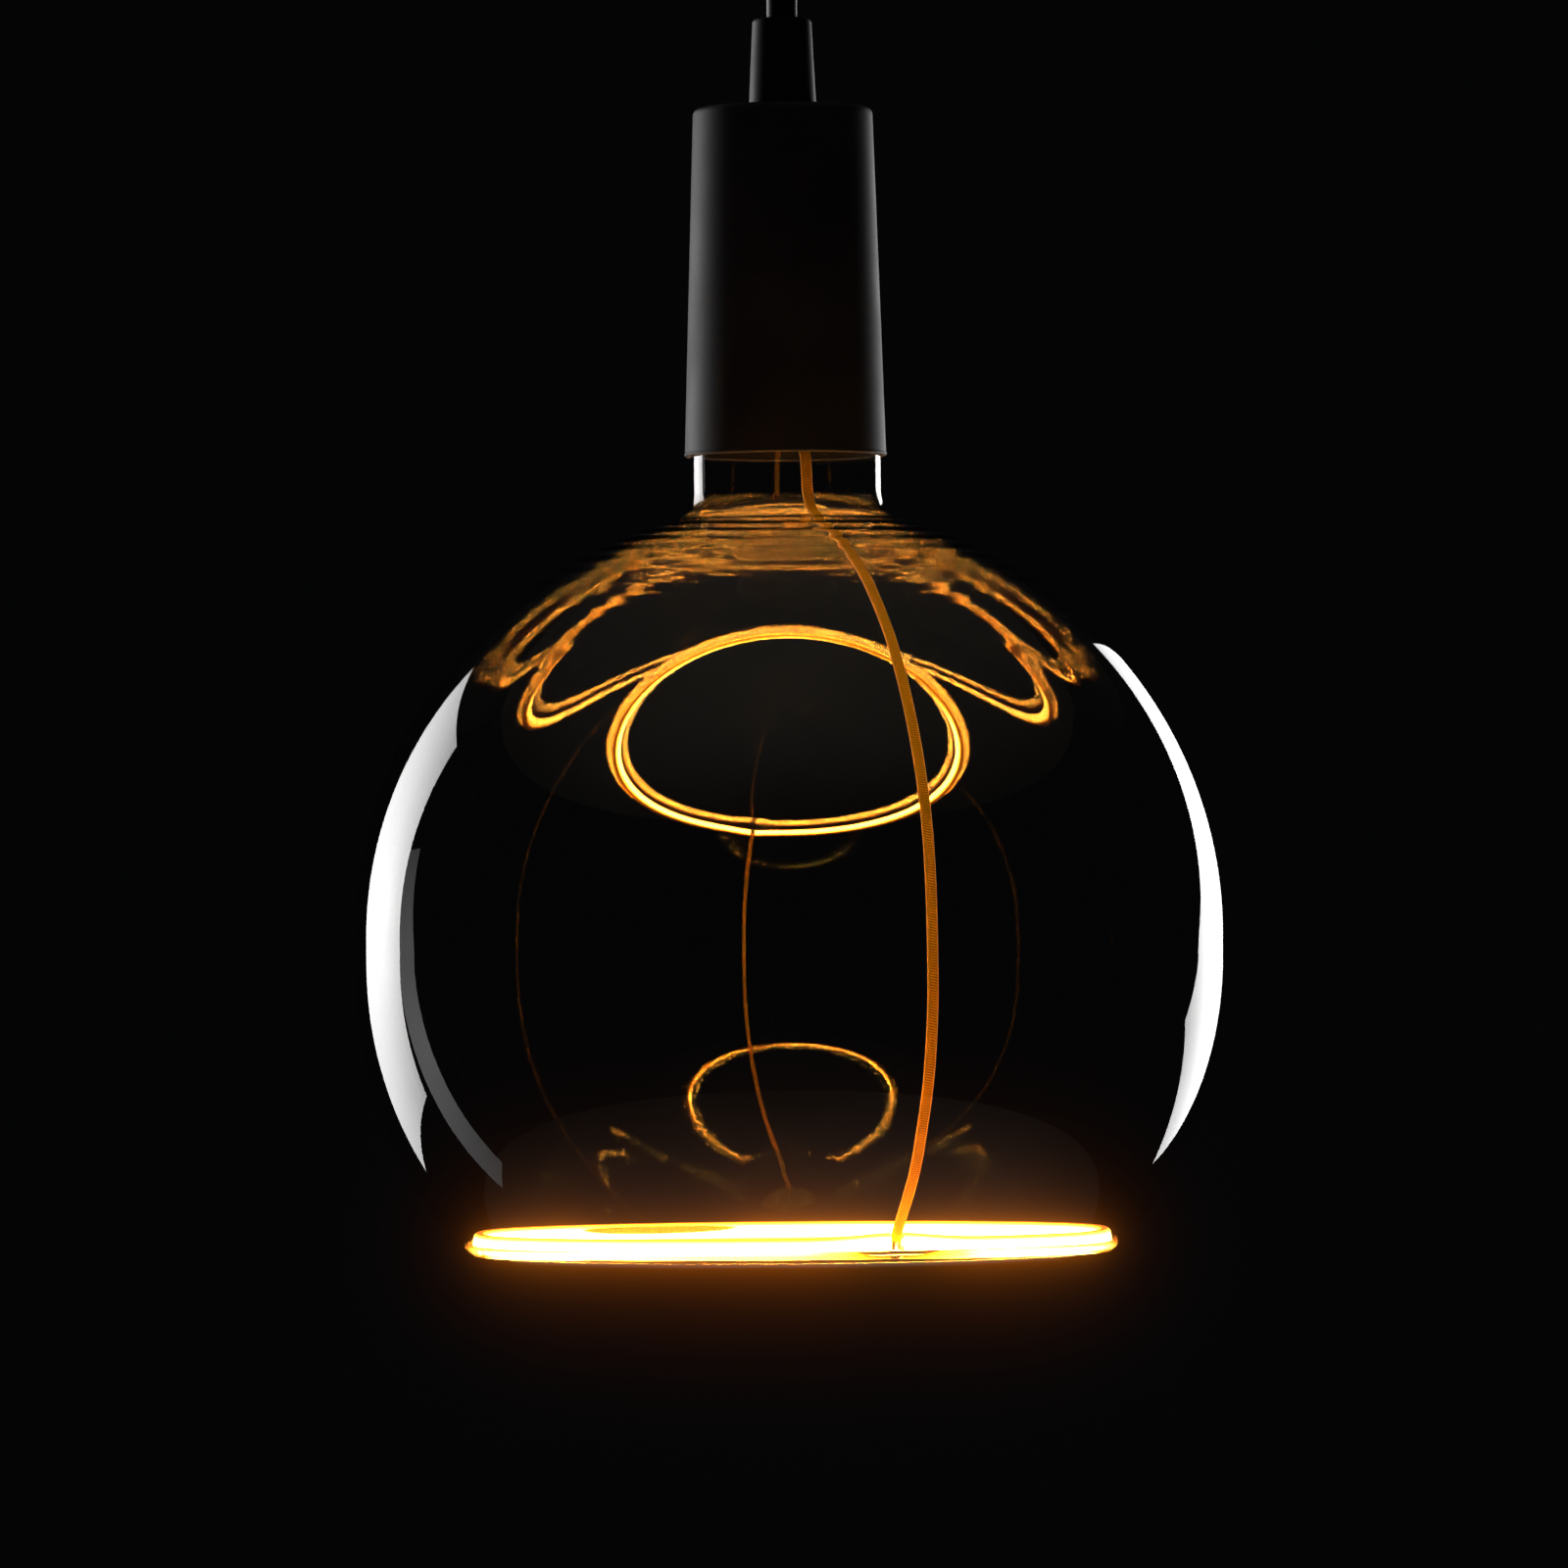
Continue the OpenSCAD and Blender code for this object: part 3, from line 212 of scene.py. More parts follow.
def turned(name, profile, segments=96):
    """Each point (r, z) of a profile carried round the Z axis: (r cos t, r sin t, z)."""
    turn = np.linspace(0, 2 * np.pi, segments + 1)
    r, z = profile[:, None, 0], profile[:, None, 1]
    return skin(name, np.stack([r * np.cos(turn), r * np.sin(turn), z + 0 * turn], -1))


def rounded(corners, radii, count=6):
    """A polyline whose corner k becomes an arc of radius radii[k] that touches both sides."""
    corners = np.asarray(corners, float)
    out = []
    befores, afters = np.roll(corners, 1, 0), np.roll(corners, -1, 0)
    for before, here, after, radius in zip(befores, corners, afters, radii):
        if not radius:
            out.append(here[None])
            continue
        a = (before - here) / np.linalg.norm(before - here)
        b = (after - here) / np.linalg.norm(after - here)
        half = math.acos(float(np.clip(a @ b, -1, 1))) / 2
        centre = here + (a + b) / np.linalg.norm(a + b) * radius / math.sin(half)
        start = here + a * radius / math.tan(half) - centre
        end = here + b * radius / math.tan(half) - centre
        whole = math.atan2(start[0] * end[1] - start[1] * end[0], float(start @ end))
        turn = np.linspace(0, whole, count)
        out.append(np.stack([centre[0] + start[0] * np.cos(turn) - start[1] * np.sin(turn),
                             centre[1] + start[0] * np.sin(turn) + start[1] * np.cos(turn)], 1))
    return np.concatenate(out)


def through(points, steps):
    """The smooth curve through points: on each stretch from b to c, with a before and d after,
    half of 2b + (c - a)t + (2a - 5b + 4c - d)t2 + (3b - a - 3c + d)t3."""
    points = np.asarray(points, float)
    a, b = np.concatenate([points[:1], points[:-2]]), points[:-1]
    c, d = points[1:], np.concatenate([points[2:], points[-1:]])
    t = (np.arange(steps) / steps)[None, :, None]
    a, b, c, d = (v[:, None] for v in (a, b, c, d))
    curve = 0.5 * (2 * b + (c - a) * t + (2 * a - 5 * b + 4 * c - d) * t**2
                   + (3 * b - a - 3 * c + d) * t**3)
    return np.concatenate([curve.reshape(-1, points.shape[1]), points[-1:]])


def upper_drop(glass):
    """How far the upper half globe's middle lies under the sleeve's rim: the half globe and the
    fillet touch, so their middles are as far apart as their radii added."""
    side = glass.neck_r + glass.fillet
    return math.sqrt((glass.globe_r + glass.fillet) ** 2 - side**2) + glass.neck_shown


def closed_ends(rings):
    """The rings with a point in the middle of the first and of the last, which closes the ends."""
    return np.concatenate([0 * rings[:1] + rings[:1].mean(1, keepdims=True), rings,
                           0 * rings[-1:] + rings[-1:].mean(1, keepdims=True)])


def along(path):
    """Distance travelled at each point of a path."""
    return np.concatenate([[0], np.cumsum(np.linalg.norm(np.diff(path, axis=0), axis=1))])


# Finishes

def new_material(name):
    """An empty node material, and its tree."""
    made = bpy.data.materials.new(name)
    made.use_nodes = True
    made.node_tree.nodes.clear()
    return made, made.node_tree


def add(tree, kind, sockets=None, **settings):
    """A node of a tree, with its settings, and its sockets set to values or linked to outputs."""
    made = tree.nodes.new(kind)
    for key, value in settings.items():
        setattr(made, key, value)
    for key, value in (sockets or {}).items():
        if isinstance(value, bpy.types.NodeSocket):
            tree.links.new(value, made.inputs[key])
        else:
            made.inputs[key].default_value = value
    return made


def surface_finish(name, dark, light, grain_mm, depth_mm, rough, spread, stretch=(1, 1, 1),
                   **constant):
    """A finish whose colour, roughness and height follow one fine noise of grain_mm under slow
    cloudiness. stretch draws the grain out, as brushing, drawing or turning does. dark and light
    are hex codes, or colours of a property group."""
    made, tree = new_material(name)
    dark, light = (linear(tone) if isinstance(tone, str) else list(tone) for tone in (dark, light))
    place = add(tree, "ShaderNodeTexCoord").outputs["Object"]
    drawn = add(tree, "ShaderNodeMapping", {"Vector": place, "Scale": stretch}).outputs[0]
    fine = add(tree, "ShaderNodeTexNoise", {
        "Vector": drawn, "Scale": 1 / (grain_mm * MM), "Detail": 2.0}).outputs["Fac"]
    slow = add(tree, "ShaderNodeTexNoise", {
        "Vector": place, "Scale": 1 / (18 * MM), "Detail": 1.0}).outputs["Fac"]
    both = add(tree, "ShaderNodeMath", {0: fine, 1: slow}, operation="MULTIPLY").outputs[0]
    mottle = add(tree, "ShaderNodeMapRange", {
        "Value": both, "From Min": 0.12, "From Max": 0.42}).outputs[0]
    tone = add(tree, "ShaderNodeMix", {0: mottle, 6: dark, 7: light}, data_type="RGBA").outputs[2]
    polish = add(tree, "ShaderNodeMapRange", {
        "Value": mottle, "To Min": rough - spread, "To Max": rough + spread}).outputs[0]
    relief = add(tree, "ShaderNodeBump", {
        "Height": fine, "Distance": depth_mm * MM, "Strength": 1.0}).outputs[0]
    sockets = {"Base Color": tone, "Roughness": polish, "Normal": relief}
    sockets.update({key.replace("_", " ").title().replace("Ior", "IOR"): value
                    for key, value in constant.items()})
    shader = add(tree, "ShaderNodeBsdfPrincipled", sockets)
    add(tree, "ShaderNodeOutputMaterial", {"Surface": shader.outputs[0]})
    return made


def blown_glass(centre, radius, tint):
    """Clear glass blown in a mould. The wall keeps ripples, 5 mm from crest to crest, where it was
    drawn in towards the neck, so the ring's reflections there break into nested lines. Light on
    its way to a lamp passes straight. centre is the height of the upper half's middle."""
    made, tree = new_material("blown_glass")
    place = add(tree, "ShaderNodeTexCoord").outputs["Object"]
    # The angle from the top of the globe, which the ripples and their strength follow
    spoke = add(tree, "ShaderNodeVectorMath", {0: place, 1: (0, 0, centre)},
                operation="SUBTRACT").outputs["Vector"]
    reach = add(tree, "ShaderNodeVectorMath", {0: spoke}, operation="LENGTH").outputs["Value"]
    up = add(tree, "ShaderNodeSeparateXYZ", {0: spoke}).outputs["Z"]
    share = add(tree, "ShaderNodeMath", {0: up, 1: reach}, operation="DIVIDE").outputs[0]
    polar = add(tree, "ShaderNodeMath", {0: share}, operation="ARCCOSINE").outputs[0]
    # Ripples as a sine of that angle. Its phase wanders over swells 67 mm long (15 to the metre),
    # because the glass cooled unevenly
    drift = add(tree, "ShaderNodeTexNoise", {
        "Vector": place, "Scale": 15.0, "Detail": 1.0}).outputs["Fac"]
    turns = add(tree, "ShaderNodeMath", {0: polar, 1: radius / (5 * MM) * 2 * math.pi},
                operation="MULTIPLY").outputs[0]
    phase = add(tree, "ShaderNodeMath", {0: drift, 1: 9.0, 2: turns},
                operation="MULTIPLY_ADD").outputs[0]
    crest = add(tree, "ShaderNodeMath", {0: phase}, operation="SINE").outputs[0]
    drawn = add(tree, "ShaderNodeMapRange", {
        "Value": polar, "From Min": 0.76, "From Max": 0.4},
        interpolation_type="SMOOTHSTEP").outputs[0]
    ripple = add(tree, "ShaderNodeMath", {0: crest, 1: drawn}, operation="MULTIPLY").outputs[0]
    # The whole wall is wavy over 33 mm (30 to the metre), as blown glass is
    slow = add(tree, "ShaderNodeTexNoise", {
        "Vector": place, "Scale": 30.0, "Detail": 0.0}).outputs["Fac"]
    rippled = add(tree, "ShaderNodeBump", {
        "Height": ripple, "Distance": 0.022 * MM, "Strength": 1.0}).outputs[0]
    relief = add(tree, "ShaderNodeBump", {
        "Height": slow, "Distance": 0.02 * MM, "Strength": 1.0, "Normal": rippled}).outputs[0]
    # IOR starts from 1.52 for glass and is raised to match how clearly the wall mirrors the ring
    glass = add(tree, "ShaderNodeBsdfPrincipled", {
        "Base Color": list(tint), "Roughness": 0.0, "IOR": 1.7, "Transmission Weight": 1.0,
        "Normal": relief}).outputs[0]
    clear = add(tree, "ShaderNodeBsdfTransparent", {"Color": list(tint)}).outputs[0]
    shadow = add(tree, "ShaderNodeLightPath").outputs["Is Shadow Ray"]
    both = add(tree, "ShaderNodeMixShader", {0: shadow, 1: glass, 2: clear}).outputs[0]
    add(tree, "ShaderNodeOutputMaterial", {"Surface": both})
    return made


def glowing_silicone(sizes):
    """Silicone filled with yellow phosphor, moulded over rows of blue chips: a soft amber bar that
    darkens through orange to brown at its edges, with a paler patch over each chip."""
    made, tree = new_material("phosphor_silicone")
    place = add(tree, "ShaderNodeUVMap", uv_map="along_and_round").outputs[0]
    split = add(tree, "ShaderNodeSeparateXYZ", {0: place})
    # Along the strip: bright over each chip and dimmer between two, at the chips' real pitch
    half = sizes.chip_pitch / MM / 2
    step = add(tree, "ShaderNodeMath", {0: split.outputs["X"], 1: half},
               operation="PINGPONG").outputs[0]
    chip = add(tree, "ShaderNodeMapRange", {"Value": step, "From Min": 0.15, "From Max": half},
               interpolation_type="SMOOTHSTEP").outputs[0]
    patch = add(tree, "ShaderNodeMapRange", {
        "Value": chip, "To Min": 0.75, "To Max": 1.0}).outputs[0]
    # Round the strip: 0 on its upper and lower edges, 0.25 in the middle of both faces
    side = add(tree, "ShaderNodeMath", {0: split.outputs["Y"], 1: 0.25},
               operation="PINGPONG").outputs[0]
    rise = add(tree, "ShaderNodeMapRange", {"Value": side, "From Min": 0.055, "From Max": 0.17},
               interpolation_type="SMOOTHSTEP").outputs[0]
    face = add(tree, "ShaderNodeMath", {0: rise, 1: 1.7}, operation="POWER").outputs[0]
    middle = add(tree, "ShaderNodeMapRange", {"Value": side, "From Min": 0.15, "From Max": 0.21},
                 interpolation_type="SMOOTHSTEP").outputs[0]
    soft = add(tree, "ShaderNodeMix", {
        0: face, 6: list(sizes.glow_edge), 7: list(sizes.glow_body)}, data_type="RGBA").outputs[2]
    core = add(tree, "ShaderNodeMath", {0: patch, 1: middle}, operation="MULTIPLY").outputs[0]
    light = add(tree, "ShaderNodeMix", {
        0: core, 6: soft, 7: list(sizes.glow_core)}, data_type="RGBA").outputs[2]
    # One stretch of the inner face, about 50 mm long and lens-shaped, is painted shade: the
    # strip's light is turned off there. Its middle lies 124 mm past the quarter turn from the
    # joint, where the UV's millimetres start, and 0.8 of a turn round the section
    ahead = add(tree, "ShaderNodeMath", {0: split.outputs["X"], 1: 1 / 25, 2: -124 / 25},
                operation="MULTIPLY_ADD").outputs[0]
    above = add(tree, "ShaderNodeMath", {0: split.outputs["Y"], 1: 1 / 0.07, 2: -0.8 / 0.07},
                operation="MULTIPLY_ADD").outputs[0]
    off = add(tree, "ShaderNodeCombineXYZ", {"X": ahead, "Y": above}).outputs[0]
    out = add(tree, "ShaderNodeVectorMath", {0: off}, operation="LENGTH").outputs["Value"]
    # The strip's light, turned off inside the lens-shaped patch of painted shade
    glow_with_painted_shade = add(tree, "ShaderNodeMapRange", {
        "Value": out, "From Min": 0.8, "From Max": 1.1, "To Max": sizes.glow}).outputs[0]
    bright = add(tree, "ShaderNodeMath", {0: patch, 1: face}, operation="MULTIPLY").outputs[0]
    body = add(tree, "ShaderNodeMix", {0: bright, 6: linear("#d99a3c"), 7: linear("#f0c468")},
               data_type="RGBA").outputs[2]
    shader = add(tree, "ShaderNodeBsdfPrincipled", {
        "Base Color": body, "Roughness": 0.42, "Emission Color": light, "Emission Strength": glow_with_painted_shade})
    add(tree, "ShaderNodeOutputMaterial", {"Surface": shader.outputs[0]})
    return made


def lead_insulation():
    """Clear amber film round two stranded cores: silky, warm, with the strands' fine slanting
    twist, 0.6 mm from one strand to the next, showing through."""
    made, tree = new_material("amber_insulation")
    place = add(tree, "ShaderNodeUVMap", uv_map="along_and_round").outputs[0]
    split = add(tree, "ShaderNodeSeparateXYZ", {0: place})
    slant = add(tree, "ShaderNodeMath", {0: split.outputs["Y"], 1: 3.0, 2: split.outputs["X"]},
                operation="MULTIPLY_ADD").outputs[0]
    step = add(tree, "ShaderNodeMath", {0: slant, 1: 0.3}, operation="PINGPONG").outputs[0]
    strand = add(tree, "ShaderNodeMapRange", {"Value": step, "From Max": 0.3}).outputs[0]
    tone = add(tree, "ShaderNodeMix", {0: strand, 6: linear("#7d4a00"), 7: linear("#ffb414")},
               data_type="RGBA").outputs[2]
    relief = add(tree, "ShaderNodeBump", {
        "Height": strand, "Distance": 0.03 * MM, "Strength": 1.0}).outputs[0]
    shader = add(tree, "ShaderNodeBsdfPrincipled", {
        "Base Color": tone, "Roughness": 0.5, "IOR": 1.45, "Specular IOR Level": 0.05,
        "Normal": relief})
    add(tree, "ShaderNodeOutputMaterial", {"Surface": shader.outputs[0]})
    return made


def clear_resin(name, tint, rough, ior):
    """Clear resin or rubber with a slightly uneven skin: bright edges, the things behind bent."""
    made, tree = new_material(name)
    place = add(tree, "ShaderNodeTexCoord").outputs["Object"]
    fine = add(tree, "ShaderNodeTexNoise", {
        "Vector": place, "Scale": 1 / (3 * MM), "Detail": 1.0}).outputs["Fac"]
    relief = add(tree, "ShaderNodeBump", {
        "Height": fine, "Distance": 0.06 * MM, "Strength": 1.0}).outputs[0]
    shader = add(tree, "ShaderNodeBsdfPrincipled", {
        "Base Color": linear(tint), "Roughness": rough, "IOR": ior, "Transmission Weight": 1.0,
        "Normal": relief})
    clear = add(tree, "ShaderNodeBsdfTransparent", {"Color": linear(tint)})
    shadow = add(tree, "ShaderNodeLightPath").outputs["Is Shadow Ray"]
    both = add(tree, "ShaderNodeMixShader", {0: shadow, 1: shader.outputs[0], 2: clear.outputs[0]})
    add(tree, "ShaderNodeOutputMaterial", {"Surface": both.outputs[0]})
    return made


def dress(finish, *nodes):
    """Gives modelled pieces one finish."""
    for node in nodes:
        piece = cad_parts[node]
        for place in piece.material_slots:
            place.material = finish


def finished(piece, finish, body, slot, *nodes):
    """Gives a new piece its finish, ties it to its body and lets it stand for modelled ones."""
    piece.data.materials.append(finish)
    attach(piece, body)
    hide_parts(*nodes)
    return piece


# Pieces

class GLOBELAMP_OT_camera(bpy.types.Operator):
    """Sets the camera where the lamp was photographed from"""

    bl_idname = "globe_lamp.camera"
    bl_label = "Camera"

    def execute(self, context):
        """Places the camera in front of the globe, tipped up and rolled a little."""
        studio = context.scene.globe_lamp_studio
        camera = bpy.data.objects.new("camera", bpy.data.cameras.new("camera"))
        camera.data.lens = studio.lens
        camera.data.sensor_width = 36
        camera.data.sensor_fit = "HORIZONTAL"
        camera.data.clip_end = 50
        camera.matrix_world = (
            Matrix.Translation((studio.aside, -studio.distance, studio.height))
            @ Matrix.Rotation(math.radians(90) + studio.tip, 4, "X")
            @ Matrix.Rotation(studio.roll, 4, "Z"))
        context.scene.collection.objects.link(camera)
        context.scene.camera = camera
        return {"FINISHED"}


class GLOBELAMP_OT_supply_cord(bpy.types.Operator):
    """Makes the round supply cord between the ceiling cup and the lampholder"""

    bl_idname = "globe_lamp.supply_cord"
    bl_label = "Supply Cord"

    def execute(self, context):
        """A circle of the cord's radius carried down a straight, taut line."""
        radius = context.scene.globe_lamp_holder.cord_d / 2
        heights = np.linspace(GRIP_TOP, GLAND_LOW, 21)
        turn = np.linspace(0, 2 * np.pi, 49)
        level = heights[:, None]
        rings = np.stack([radius * np.cos(turn) + 0 * level, radius * np.sin(turn) + 0 * level,
                          level + 0 * turn], -1)
        cord = skin("supply_cord_jacket", closed_ends(rings))
        # Flexible PVC, extruded: soft satin black, with faint lengthwise die lines
        jacket = surface_finish("cord_pvc", "#121214", "#1d1d1f", grain_mm=0.35, depth_mm=0.01,
                                rough=0.48, spread=0.06, stretch=(1, 1, 0.12),
                                specular_ior_level=0.4)
        finished(cord, jacket, "holder", "black_jacket", "supply_cord")
        dress(jacket, "cord_end", "cup_cord_end")
        return {"FINISHED"}


class GLOBELAMP_OT_globe(bpy.types.Operator):
    """Makes the clear globe with its flat bottom, neck and mouth"""

    bl_idname = "globe_lamp.globe"
    bl_label = "Glass Globe"

    def outline(self, sizes, inset):
        """Half of the globe's section from the bottom to the mouth, moved inwards by inset. Arcs:
        lower half, corner and upper half share tangents, and so do upper half, fillet and neck.
        The shoulder's two bends touch, and from its height h and its draw d their radii add up to
        (h2 + d2) / 2d. The outer bend has 0.45 of that."""
        upper = -upper_drop(sizes)
        lower = upper - sizes.band
        flat = lower - sizes.drop
        reach = sizes.globe_r - sizes.corner
        rise = sizes.drop - sizes.corner
        corner = np.array([math.sqrt(reach**2 - rise**2), flat + sizes.corner])
        low_turn = math.degrees(math.atan2(corner[1] - lower, corner[0]))
        hollow = np.array([sizes.neck_r + sizes.fillet, -sizes.neck_shown])
        top_turn = math.degrees(math.atan2(hollow[1] - upper, hollow[0]))
        start = sizes.neck_in
        stop = start + sizes.shoulder_h
        draw = sizes.neck_r - sizes.mouth_r
        bends = (sizes.shoulder_h**2 + draw**2) / (2 * draw)
        lean = math.degrees(math.acos(1 - draw / bends))
        outer = 0.45 * bends
        inner = bends - outer
        across = np.linspace(4 * MM, corner[0] - 0.4 * MM, 18)
        return np.concatenate([
            [[0, flat + inset]],
            np.stack([across, flat + inset + 0 * across], 1),
            arc(corner, sizes.corner - inset, -90, low_turn, 24),
            arc((0, lower), sizes.globe_r - inset, low_turn, 0, 60)[1:],
            arc((0, upper), sizes.globe_r - inset, 0, top_turn, 88),
            arc(hollow, sizes.fillet + inset, top_turn + 180, 180, 28)[1:],
            arc((sizes.neck_r - outer, start), outer - inset, 0, lean, 18),
            arc((sizes.mouth_r + inner, stop), inner + inset, lean + 180, 180, 18)[1:],
            [[sizes.mouth_r - inset, stop + sizes.mouth_h - 0.5 * sizes.wall]]])

    def execute(self, context):
        """The outer outline up, a rounded edge at the mouth and the inner outline down, turned."""
        sizes = context.scene.globe_lamp_glass
        outer = self.outline(sizes, 0)
        inner = self.outline(sizes, sizes.wall)
        edge = arc(((outer[-1, 0] + inner[-1, 0]) / 2, outer[-1, 1]), sizes.wall / 2, 0, 180, 8)
        profile = np.concatenate([outer, edge, inner[::-1]])
        profile[:, 1] += RIM
        globe = turned("globe_glass", profile, context.scene.globe_lamp_studio.segments)
        glass = blown_glass(RIM - upper_drop(sizes), sizes.globe_r, sizes.tint)
        finished(globe, glass, "bulb", "clear_glass", "glass_globe")
        dress(glass, "glass_stem")
        return {"FINISHED"}


class GLOBELAMP_OT_filament(bpy.types.Operator):
    """Makes the glowing ring, its lead and their small metal parts"""

    bl_idname = "globe_lamp.filament"
    bl_label = "Filament"

    def lift(self, sizes, turn):
        """Height of the ring over its level: half the tilt times 1 + cos of the direction, plus
        the rise of both ends, which falls off as exp(-(degrees from the joint / 9) squared)."""
        from_joint = np.minimum(turn + 90, 270 - turn)
        return (sizes.tilt * (1 + np.cos(np.radians(turn + 90) + sizes.lead_turn)) / 2
                + sizes.end_lift * np.exp(-((from_joint / 9) ** 2)))

    def at_lead(self, sizes, points):
        """Turns points about Z by the lead's direction and sets them at the sleeve's rim."""
        c, s = math.cos(sizes.lead_turn), math.sin(sizes.lead_turn)
        x, y, z = points[..., 0], points[..., 1], points[..., 2]
        return np.stack([x * c - y * s, x * s + y * c, z + RIM], -1)

    def tube(self, name, sizes, rings, way, around):
        """A skin over rings, closed at both ends. Its UV is millimetres along and turns round."""
        uv = np.stack([way / MM + 0 * around, around / (2 * np.pi) + 0 * way], -1)
        uv = np.concatenate([uv[:1], uv, uv[-1:]])
        return skin(name, closed_ends(self.at_lead(sizes, rings)), uv)

    def strip(self, sizes, level):
        """The glowing ring. Its section is (t/2 soft(sin u), h/2 soft(cos u)), where soft(v) is
        sign(v) |v|^0.7, carried round the axis from one side of the joint to the other."""
        soft = lambda v: np.sign(v) * np.abs(v) ** 0.7
        middle = sizes.strip_out - sizes.strip_t / 2
        end = math.degrees(sizes.end_gap / middle)
        turn = np.linspace(end - 90, 270 - end, 721)[:, None]
        around = np.linspace(0, 2 * np.pi, 25)
        r = middle + sizes.strip_t / 2 * soft(np.sin(around)) + 0 * turn
        z = level + self.lift(sizes, turn) + sizes.strip_h / 2 * soft(np.cos(around))
        bearing = np.radians(turn)
        rings = np.stack([r * np.cos(bearing), r * np.sin(bearing), z], -1)
        return self.tube("filament_glow", sizes, rings, bearing * middle, around)

    def lead(self, sizes, glass, level):
        """Two round cores side by side under one film, carried along a route in the upright plane
        through the joint. Across, the section goes (w - t) tanh(4 cos u) + t cos u, and through
        the lead t sin u, less in the groove between the cores, with half sizes w and t."""
        # From the splices: distance from the axis and height over the rim, in millimetres
        route = [[r * MM, z * MM] for r, z in
                 [[0, 13.9], [0.6, 10.4], [4, 6.3], [10, 3.3], [13.6, -0.1], [14.6, -4.7],
                  [15.4, -9.5], [18.2, -13.5]]]
        # Down the wall: centre of that half globe, degrees over its middle, millimetres inside
        upper = -upper_drop(glass)
        lower = upper - glass.band
        for centre, turn, off in [
                [upper, 76, 1.6], [upper, 69, 1.6], [upper, 61, 1.6], [upper, 52, 1.4],
                [upper, 40, 1.2], [upper, 26, 1.1], [upper, 12, 1], [lower, -2, 1],
                [lower, -13, 1.1], [lower, -21, 2], [lower, -29, 3]]:
            reach = glass.globe_r - glass.wall - off * MM
            route.append([reach * math.cos(math.radians(turn)),
                          centre + reach * math.sin(math.radians(turn))])
        joint = [sizes.strip_out - sizes.strip_t / 2, level + self.lift(sizes, -90) + 0.35 * MM]
        route += [[joint[0] + 1.2 * MM, joint[1] + 2.4 * MM], joint]
        path = through(route, 10)
        way = np.gradient(path, axis=0)
        way[0] = way[-1] = (0, -1)
        way = way / np.linalg.norm(way, axis=1, keepdims=True)
        around = np.linspace(0, 2 * np.pi, 33)
        wide, thick = sizes.lead_w / 2, sizes.lead_t / 2
        aside = (wide - thick) * np.tanh(4 * np.cos(around)) + thick * np.cos(around)
        groove = 1 - 0.22 * np.exp(-((aside / (0.45 * MM)) ** 2))
        cross = thick * np.sin(around) * groove
        rings = np.stack([aside + 0 * path[:, :1], -path[:, :1] + cross * way[:, 1:],
                          path[:, 1:] + cross * way[:, :1]], -1)
        return self.tube("filament_lead_film", sizes, rings, along(path)[:, None], around)

    def execute(self, context):
        """Lays the strip on the flat bottom, leads the lead to it and finishes the metal parts."""
        sizes = context.scene.globe_lamp_filament
        glass = context.scene.globe_lamp_glass
        level = sizes.level - upper_drop(glass) - glass.band - glass.drop
        finished(self.strip(sizes, level), glowing_silicone(sizes), "bulb",
                 "phosphor_silicone", "filament_strip")
        finished(self.lead(sizes, glass, level), lead_insulation(), "bulb",
                 "amber_insulation", "filament_lead")
        # Flexible circuit of tinned copper on amber film, rolled: a dull warm gold edge
        dress(surface_finish("flex_circuit", "#a8824a", "#cbb07a", grain_mm=0.4, depth_mm=0.01,
                             rough=0.4, spread=0.08, metallic=0.6), "filament_ribbon")
        # Tinned copper and nickel wire, drawn: bright grey with lengthwise die lines
        dress(surface_finish("tinned_metal", "#8e8f90", "#c9c9c6", grain_mm=0.12, depth_mm=0.006,
                             rough=0.3, spread=0.1, stretch=(1, 1, 0.15), metallic=1.0),
              "filament_lugs", "lead_splices", "lead_in_wires", "contact_wire", "shell_wire")
        # Silicone bead that holds the ring to the glass, laid wet: clear, rounded, slightly uneven
        dress(clear_resin("clear_silicone", "#fbf3df", rough=0.08, ior=1.41), "filament_adhesive")
        return {"FINISHED"}


